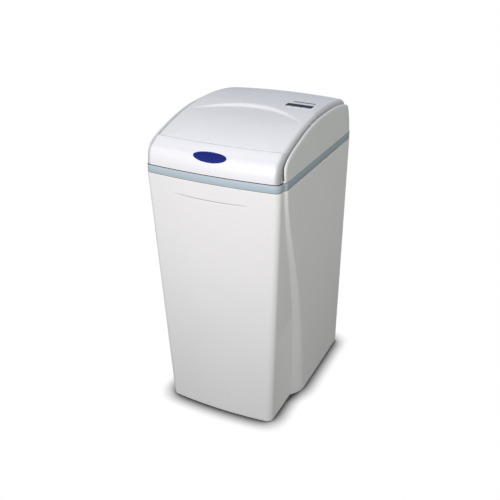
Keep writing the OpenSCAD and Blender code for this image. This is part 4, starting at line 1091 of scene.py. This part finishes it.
@dataclass
class RearCover:
    """The crowned rear cover on its posts, with the display and its printed film."""

    shape: Envelope
    back_y: float = 236
    skirt: float = 34
    post_r: float = 6
    post_x: float = 143
    post_ys: tuple = (99.8, 212)
    corner_r: float = 26
    post_core: float = 0.5
    deck_t: float = 3
    flat_steps: int = 30
    edge_steps: int = 9
    cover_steps: int = 40
    roll_steps: int = 11
    roll_turn: float = 84
    sheet_steps: tuple = (25, 17)
    lcd: tuple = (110, 51.5, 73, 24)
    lcd_gap: float = 0.3
    glass_rise: float = 0.5
    glass_top: float = 0.4
    film_levels: tuple = (0.1, 0.8)
    rule_levels: tuple = (0.7, 0.9)
    panel_x: tuple = (63.5, 156.5)
    panel_y: tuple = (30.6, 88.5)
    rule_x: tuple = (82, 143)
    rule_y: tuple = (77, 84)

    def build(self) -> None:
        """Builds and dresses the cover, the film, its printed line and the window."""
        settle(self.cover(), REAR_GREY.material(), Body.HOUSING, "rear_grey", "rear_cover")
        x, y, w, h = self.lcd
        film, gap = Draft(), self.lcd_gap
        self.sheet(film, self.panel_x, self.panel_y, *self.film_levels,
                   (x - w / 2 - gap, x + w / 2 + gap), (y - h / 2 - gap, y + h / 2 + gap))
        settle(film.mesh("display_film"), PANEL_FILM.material(), Body.HOUSING, "panel_film", "display_panel")
        rule = Draft()
        self.sheet(rule, self.rule_x, self.rule_y, *self.rule_levels)
        settle(rule.mesh("display_film_line"), PANEL_PRINT.material(), Body.HOUSING, "panel_film")
        glass = Draft()
        self.sheet(glass, (x - w / 2, x + w / 2), (y - h / 2, y + h / 2),
                   -self.shape.lid_wall + self.glass_rise, self.glass_top)
        settle(glass.mesh("lcd_window"), LCD_GLASS.material(), Body.HOUSING, "lcd_glass", "display_window")

    def sheet(self, draft: Draft, xs: tuple, ys: tuple, low: float, high: float,
              gap_x: tuple = (), gap_y: tuple = ()) -> None:
        """Adds a sheet that follows the dome, with an opening if one is given.

        Args:
            draft: what it is added to.
            xs: its two ends across.
            ys: its two ends along.
            low: its underside, above the dome.
            high: its top, above the dome.
            gap_x: the opening's two ends across.
            gap_y: the opening's two ends along.
        """
        across = sorted({*np.linspace(*xs, self.sheet_steps[0]), *gap_x})
        along = sorted({*np.linspace(*ys, self.sheet_steps[1]), *gap_y})
        gaps = set()
        if gap_x:
            gaps = {(i, j) for i, x in enumerate(across) for j, y in enumerate(along)
                    if gap_x[0] <= x < gap_x[1] and gap_y[0] <= y < gap_y[1]}
        flat = Draft()
        flat.plate(across, along, gaps, low, high)
        draft.add([(x, y, self.shape.dome(x, y) + z) for x, y, z in flat.points], flat.faces)

    def cover(self) -> bpy.types.Object:
        """Returns the cover's shell, rolled down at the sides and the back, and its four posts."""
        s = self.shape
        columns = s.columns(self.flat_steps, self.edge_steps)
        rings = [self.cover_ring(columns, t, 0.0, False) for t in np.linspace(0, 1, self.cover_steps)]
        turns = np.radians(np.linspace(0, self.roll_turn, self.roll_steps))
        rings += [self.cover_ring(columns, 1, a, False) for a in turns[1:]]
        rings.append(self.cover_ring(columns, 1, turns[-1], True))
        draft = Draft()
        draft.loft(np.array(rings), Ends.STRIP)
        floor, core = s.rim_top + self.deck_t, self.post_core
        for x in (-self.post_x, self.post_x):
            for y in self.post_ys:
                top = s.dome(x, y) - s.lid_wall / 2
                draft.lathe([(core, floor), (self.post_r, floor), (self.post_r, top), (core, top)], (x, y, 0))
        return draft.mesh("rear_cover_moulding", CURVED)

    def cover_ring(self, columns: np.ndarray, t: float, turn: float, low: bool) -> np.ndarray:
        """Returns one ring of the shell.

        Args:
            columns: the columns across.
            t: share of the way from the seam to the back.
            turn: how far round the back's rolled edge, in radians.
            low: whether this is the last ring, at the foot of the back.

        Returns:
            The ring, outer face then inner face.
        """
        s = self.shape
        faces = []
        for w in (0, s.lid_wall):
            r = s.edge_r - w
            far = max(0.0, lerp(s.seam_mid_y, self.back_y - s.edge_r, t) + r * math.sin(turn)
                      - self.back_y + self.corner_r)
            pull = self.corner_r - math.sqrt(max(0.0, self.corner_r ** 2 - far ** 2))
            x = columns[:, 4] * (columns[:, 0] * (s.lid_edge_x(s.rim_top + s.dome_h) - s.edge_r - pull)
                                 + columns[:, 1] * r * math.cos(turn))
            y = lerp(s.seam_y(x) + s.seam_gap, self.back_y - s.edge_r, t) + r * math.sin(turn)
            roll = np.ones(len(x)) if low else 1 - math.cos(turn) * (1 - columns[:, 2])
            fall = np.ones(len(x)) if low else columns[:, 3]
            z = s.dome(x, y) - w - r * roll - fall * (self.skirt - s.edge_r)
            faces.append(np.column_stack([x, y, z]))
        return both_faces(*faces)


class NodeTree:
    """A Geometry Nodes tree with named inputs, run once on a mesh and turned into a plain mesh."""

    def __init__(self, name: str, inputs: dict) -> None:
        """Starts a tree.

        Args:
            name: the tree's name.
            inputs: each further input's name with the kind of its socket.
        """
        self.tree = bpy.data.node_groups.new(name, "GeometryNodeTree")
        self.tree.is_modifier = True
        add_sockets(self.tree, "INPUT", {"Geometry": "Geometry", **inputs, "Material": "Material"})
        add_sockets(self.tree, "OUTPUT", {"Geometry": "Geometry"})
        self.given = self.node("NodeGroupInput")
        self.out = self.node("NodeGroupOutput")

    def node(self, kind: str, **settings: object) -> bpy.types.Node:
        """Returns a new node with its settings made.

        Args:
            kind: the node's type.
            settings: its attributes.
        """
        made = self.tree.nodes.new(kind)
        for name, value in settings.items():
            setattr(made, name, value)
        return made

    def link(self, source: bpy.types.NodeSocket, target: bpy.types.NodeSocket) -> None:
        """Links a socket that gives to one that takes."""
        self.tree.links.new(source, target)

    def feed(self, name: str, target: bpy.types.NodeSocket) -> None:
        """Links one of the tree's inputs, by its name, to a socket that takes."""
        self.link(self.given.outputs[name], target)

    def end(self, geometry: bpy.types.NodeSocket) -> None:
        """Closes the tree: realises the instances and sets the material.

        Args:
            geometry: the socket that gives the instances.
        """
        real, dress = self.node("GeometryNodeRealizeInstances"), self.node("GeometryNodeSetMaterial")
        self.link(geometry, real.inputs[0])
        self.link(real.outputs[0], dress.inputs["Geometry"])
        self.feed("Material", dress.inputs["Material"])
        self.link(dress.outputs[0], self.out.inputs[0])

    def run(self, name: str, mesh: bpy.types.Mesh, values: dict) -> bpy.types.Object:
        """Runs the tree on a mesh.

        Args:
            name: the new piece's name.
            mesh: what the tree starts from.
            values: each input's name with its value.

        Returns:
            A new object with the plain result.
        """
        carrier = bpy.data.objects.new(name + "_carrier", mesh)
        bpy.context.collection.objects.link(carrier)
        step = carrier.modifiers.new("nodes", "NODES")
        step.node_group = self.tree
        for item in self.tree.interface.items_tree:
            if item.in_out == "INPUT" and item.name in values:
                step[item.identifier] = values[item.name]
        ready = carrier.evaluated_get(bpy.context.evaluated_depsgraph_get())
        result = bpy.data.meshes.new_from_object(ready)
        carrier.modifiers.remove(step)
        bpy.data.objects.remove(carrier)
        result.name = name
        piece = bpy.data.objects.new(name, result)
        bpy.context.collection.objects.link(piece)
        return piece


def points_mesh(name: str, points: np.ndarray, joined: bool = False) -> bpy.types.Mesh:
    """Returns a mesh of bare points in metres, joined in a line if asked.

    Args:
        name: the mesh's name.
        points: the points, in millimetres.
        joined: whether they make a line.
    """
    data = bpy.data.meshes.new(name)
    edges = [(i, i + 1) for i in range(len(points) - 1)] if joined else []
    data.from_pydata([tuple(MM * np.asarray(p)) for p in points], edges, [])
    return data


@dataclass
class ValveTrain:
    """What the control valve shows of repeated detail: screw drives and the grips of the bypass knobs."""

    drive_r: float = 1.7
    drive_t: float = 0.5
    drive_lift: float = 0.05
    drive_sides: int = 6
    ring_r: float = 45
    ring_count: int = 8
    motor_gap: float = 26
    motor_turn: float = 225
    grip_count: int = 20
    grip_w: float = 1.6
    grip_h: float = 1.2
    knob_r: float = 14
    knob_t: float = 10
    grip_short: float = 2

    def build(self) -> None:
        """Builds and dresses both sets."""
        dark = SLOT_FINISHES["black_plastic"].material()
        settle(self.drives(dark), dark, Body.HOUSING, "black_plastic")
        red = SLOT_FINISHES["float_red"].material()
        settle(self.grips(red), red, Body.STEM, "float_red")

    def drives(self, material: bpy.types.Material) -> bpy.types.Object:
        """Returns a six-sided drive on each screw head of the valve cover and the motor.

        Args:
            material: the drives' material.
        """
        tree = NodeTree("screw_drives", {"Drive Radius": "Float", "Drive Depth": "Float"})
        drive = tree.node("GeometryNodeMeshCylinder")
        drive.inputs["Vertices"].default_value = self.drive_sides
        copies = tree.node("GeometryNodeInstanceOnPoints")
        tree.feed("Drive Radius", drive.inputs["Radius"])
        tree.feed("Drive Depth", drive.inputs["Depth"])
        tree.feed("Geometry", copies.inputs["Points"])
        tree.link(drive.outputs["Mesh"], copies.inputs["Instance"])
        tree.end(copies.outputs[0])
        ring = (np.arange(self.ring_count) + 0.5) / self.ring_count * 2 * math.pi
        pair = np.radians((self.motor_turn - 180, self.motor_turn))
        heads = self.heads("cover_screws", self.ring_r, ring)
        heads += self.heads("motor_screws", self.motor_gap, pair)
        return tree.run("screw_drives", points_mesh("screw_heads", np.array(heads)), {
            "Drive Radius": self.drive_r * MM, "Drive Depth": self.drive_t * MM, "Material": material})

    def heads(self, node: str, radius: float, turns: np.ndarray) -> list:
        """Returns the middles of the drives in a node's screw heads.

        Args:
            node: the node of the screws.
            radius: how far the screws stand from the node's middle.
            turns: their places round it, in radians.
        """
        low, high = (np.array(c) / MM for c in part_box(node))
        middle, level = (low + high) / 2, high[2] + self.drive_lift - self.drive_t / 2
        return [(*(middle[:2] + radius * np.array((math.cos(a), math.sin(a)))), level) for a in turns]

    def grips(self, material: bpy.types.Material) -> bpy.types.Object:
        """Returns the ribs round the rims of the two knobs on the bypass stem.

        Args:
            material: the ribs' material.
        """
        tree = NodeTree("knob_grips", {"Count": "Int", "Radius": "Float", "Rib Size": "Vector"})
        circle, rib = tree.node("GeometryNodeMeshCircle"), tree.node("GeometryNodeMeshCube")
        place = tree.node("GeometryNodeInputPosition")
        turn = tree.node("FunctionNodeAlignRotationToVector", axis="X")
        ribs, lay = tree.node("GeometryNodeInstanceOnPoints"), tree.node("GeometryNodeTransform")
        lay.inputs["Rotation"].default_value = (0, math.pi / 2, 0)
        knobs = tree.node("GeometryNodeInstanceOnPoints")
        tree.feed("Count", circle.inputs["Vertices"])
        tree.feed("Radius", circle.inputs["Radius"])
        tree.feed("Rib Size", rib.inputs["Size"])
        tree.link(place.outputs[0], turn.inputs["Vector"])
        tree.link(circle.outputs["Mesh"], ribs.inputs["Points"])
        tree.link(rib.outputs["Mesh"], ribs.inputs["Instance"])
        tree.link(turn.outputs[0], ribs.inputs["Rotation"])
        tree.link(ribs.outputs[0], lay.inputs["Geometry"])
        tree.feed("Geometry", knobs.inputs["Points"])
        tree.link(lay.outputs[0], knobs.inputs["Instance"])
        tree.end(knobs.outputs[0])
        low, high = (np.array(c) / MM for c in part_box("bypass_stem"))
        middle = (low + high) / 2
        ends = [(low[0] + self.knob_t / 2, *middle[1:]), (high[0] - self.knob_t / 2, *middle[1:])]
        return tree.run("bypass_knob_grips", points_mesh("knob_middles", np.array(ends)), {
            "Count": self.grip_count, "Radius": self.knob_r * MM,
            "Rib Size": (self.grip_h * MM, self.grip_w * MM, (self.knob_t - self.grip_short) * MM),
            "Material": material})


@dataclass
class BrineLine:
    """The brine line from the well's pipe to the nozzle housing."""

    radius: float = 4.8
    sides: int = 20
    steps: int = 10
    route: tuple = (
        (-95, -116, 651), (-95, -96, 651), (-95, -60, 651), (-93, 0, 659), (-87.4, 45, 686.2),
        (-76, 82.5, 714), (-76, 96.5, 715), (-76, 108.5, 715))

    def build(self) -> None:
        """Builds and dresses the line."""
        finish = SLOT_FINISHES["white_plastic"].material()
        tree = NodeTree("tube_along_route", {"Radius": "Float", "Sides": "Int"})
        curve, ring = tree.node("GeometryNodeMeshToCurve"), tree.node("GeometryNodeCurvePrimitiveCircle")
        tube, smooth = tree.node("GeometryNodeCurveToMesh"), tree.node("GeometryNodeSetShadeSmooth")
        tube.inputs["Fill Caps"].default_value = True
        tree.feed("Geometry", curve.inputs["Mesh"])
        tree.feed("Radius", ring.inputs["Radius"])
        tree.feed("Sides", ring.inputs["Resolution"])
        tree.link(curve.outputs[0], tube.inputs["Curve"])
        tree.link(ring.outputs["Curve"], tube.inputs["Profile Curve"])
        tree.link(tube.outputs[0], smooth.inputs["Geometry"])
        tree.end(smooth.outputs[0])
        route = points_mesh("brine_route", spline(self.route, self.steps), True)
        line = tree.run("brine_line_tube", route, {
            "Radius": self.radius * MM, "Sides": self.sides, "Material": finish})
        line.data.set_sharp_from_angle(angle=math.radians(CURVED))
        settle(line, finish, Body.HOUSING, "white_plastic", "brine_line")


class CarriedNodes:
    """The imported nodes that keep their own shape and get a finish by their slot."""

    def dress(self) -> None:
        """Gives each node of the frame the finish of its slot."""
        for entry in frame["record"]["subparts"]:
            node, slot = entry["node"], entry["material_slot"]
            if slot not in SLOT_FINISHES:
                continue
            data = frame["nodes"][node].data
            material = SLOT_FINISHES[slot].material()
            for k in range(max(1, len(data.materials))):
                if k < len(data.materials):
                    data.materials[k] = material
                else:
                    data.materials.append(material)
            LOG.info("%s gets %s", node, material.name)


@dataclass(frozen=True)
class SoftBox:
    """One soft studio light: where it stands, what it looks at, its size and its power."""

    name: str
    at: tuple
    to: tuple
    size: tuple
    power: float
    color: tuple = (1.0, 1.0, 1.0)

    def build(self) -> None:
        """Adds the light to the scene."""
        data = bpy.data.lights.new(self.name, "AREA")
        data.shape = "RECTANGLE"
        data.size, data.size_y = self.size
        data.energy, data.color = self.power, self.color
        lamp = bpy.data.objects.new(self.name, data)
        bpy.context.collection.objects.link(lamp)
        lamp.location = self.at
        lamp.rotation_euler = (Vector(self.to) - Vector(self.at)).to_track_quat("-Z", "Y").to_euler()


@dataclass
class Studio:
    """The floor, the light and the camera, in metres. The picture is in pixels, and the sensor in mm."""

    image: float = 500
    sensor: float = 36
    azimuth: float = 25.2
    elevation: float = 28.18
    distance: float = 1.94814
    focal_px: float = 677.54
    centre_px: tuple = (262.05, 265.28)
    side_step: float = 0.02435
    up_step: float = -0.0385
    target: tuple = (0, 0, 0.4)
    floor_half: float = 30
    floor_bounce: tuple = (0.21, 0.21, 0.20)
    shade_reach: float = 0.047
    shade_dark: float = 0.04
    shade_from: float = 0.5
    shade_to: float = 1.0
    shade_samples: int = 32
    sky_color: tuple = (0.965, 0.985, 1.04)
    sky_light: float = 0.62
    lights: tuple = (
        SoftBox("key_box", (0.1, -1.85, 1.3), (0, -0.1, 0.7), (1.2, 0.6), 24, (1.0, 0.972, 0.972)),
        SoftBox("side_box", (2.2, 0.5, 0.9), (0.1, 0, 0.45), (1.2, 1.0), 4.4, (1.0, 1.05, 0.78)),
    )

    def build(self) -> None:
        """Builds all of it."""
        self.floor()
        self.sky()
        for light in self.lights:
            light.build()
        self.camera()

    def floor(self) -> None:
        """Adds the pale floor: white with a soft contact shade, and duller in what it throws back."""
        data = bpy.data.meshes.new("floor")
        h = self.floor_half
        data.from_pydata([(-h, -h, 0), (h, -h, 0), (h, h, 0), (-h, h, 0)], [], [(0, 1, 2, 3)])
        plane = bpy.data.objects.new("floor", data)
        bpy.context.collection.objects.link(plane)
        paper = bpy.data.materials.new("floor_paper")
        paper.use_nodes = True
        nodes, link = paper.node_tree.nodes, paper.node_tree.links.new
        dull, white, either, path, shade, ramp = (nodes.new("ShaderNode" + kind) for kind in (
            "BsdfDiffuse", "Emission", "MixShader", "LightPath", "AmbientOcclusion", "ValToRGB"))
        dull.inputs["Color"].default_value = (*self.floor_bounce, 1)
        shade.samples = self.shade_samples
        shade.inputs["Distance"].default_value = self.shade_reach
        low, high = ramp.color_ramp.elements
        low.position, high.position = self.shade_from, self.shade_to
        low.color = (*[self.shade_dark] * 3, 1)
        link(shade.outputs["AO"], ramp.inputs["Fac"])
        link(ramp.outputs["Color"], white.inputs["Color"])
        link(path.outputs["Is Camera Ray"], either.inputs["Fac"])
        link(dull.outputs[0], either.inputs[1])
        link(white.outputs[0], either.inputs[2])
        link(either.outputs[0], nodes["Material Output"].inputs["Surface"])
        data.materials.append(paper)

    def sky(self) -> None:
        """Sets the even surround: white where it is seen, dimmer and cooler as light."""
        world = bpy.data.worlds.new("studio")
        bpy.context.scene.world = world
        world.use_nodes = True
        nodes, link = world.node_tree.nodes, world.node_tree.links.new
        path, tone = nodes.new("ShaderNodeLightPath"), nodes.new("ShaderNodeMix")
        tone.data_type = "RGBA"
        # Inputs 6 and 7 of this node are its two colours, and output 2 is the mixed one.
        tone.inputs[6].default_value = (*[self.sky_light * c for c in self.sky_color], 1)
        tone.inputs[7].default_value = (1, 1, 1, 1)
        link(path.outputs["Is Camera Ray"], tone.inputs[0])
        link(tone.outputs[2], nodes["Background"].inputs["Color"])
        bpy.context.scene.view_settings.view_transform = "Standard"

    def camera(self) -> None:
        """Adds the camera at the photograph's viewing angle."""
        a, e = math.radians(self.azimuth), math.radians(self.elevation)
        back = Vector((math.sin(a) * math.cos(e), -math.cos(a) * math.cos(e), math.sin(e)))
        right = Vector((math.cos(a), math.sin(a), 0))
        up = back.cross(right)
        data = bpy.data.cameras.new("camera")
        data.sensor_width = self.sensor
        data.sensor_fit = "HORIZONTAL"
        data.lens = self.focal_px * self.sensor / self.image
        data.shift_x = (self.image / 2 - self.centre_px[0]) / self.image
        data.shift_y = (self.centre_px[1] - self.image / 2) / self.image
        view = bpy.data.objects.new("camera", data)
        bpy.context.collection.objects.link(view)
        place = Vector(self.target) + back * self.distance + right * self.side_step + up * self.up_step
        view.matrix_world = Matrix.Translation(place) @ Matrix((right, up, back)).transposed().to_4x4()
        bpy.context.scene.camera = view


def main() -> None:
    """Builds the sub-assemblies in order, then the studio."""
    logging.basicConfig(level=logging.INFO, format="%(message)s")
    shape = Envelope()
    covers = (Cabinet(shape), TopCover(shape), SaltLid(shape), RearCover(shape))
    for part in (*covers, ValveTrain(), BrineLine()):
        part.build()
    CarriedNodes().dress()
    Studio().build()


if __name__ == "__main__":
    main()
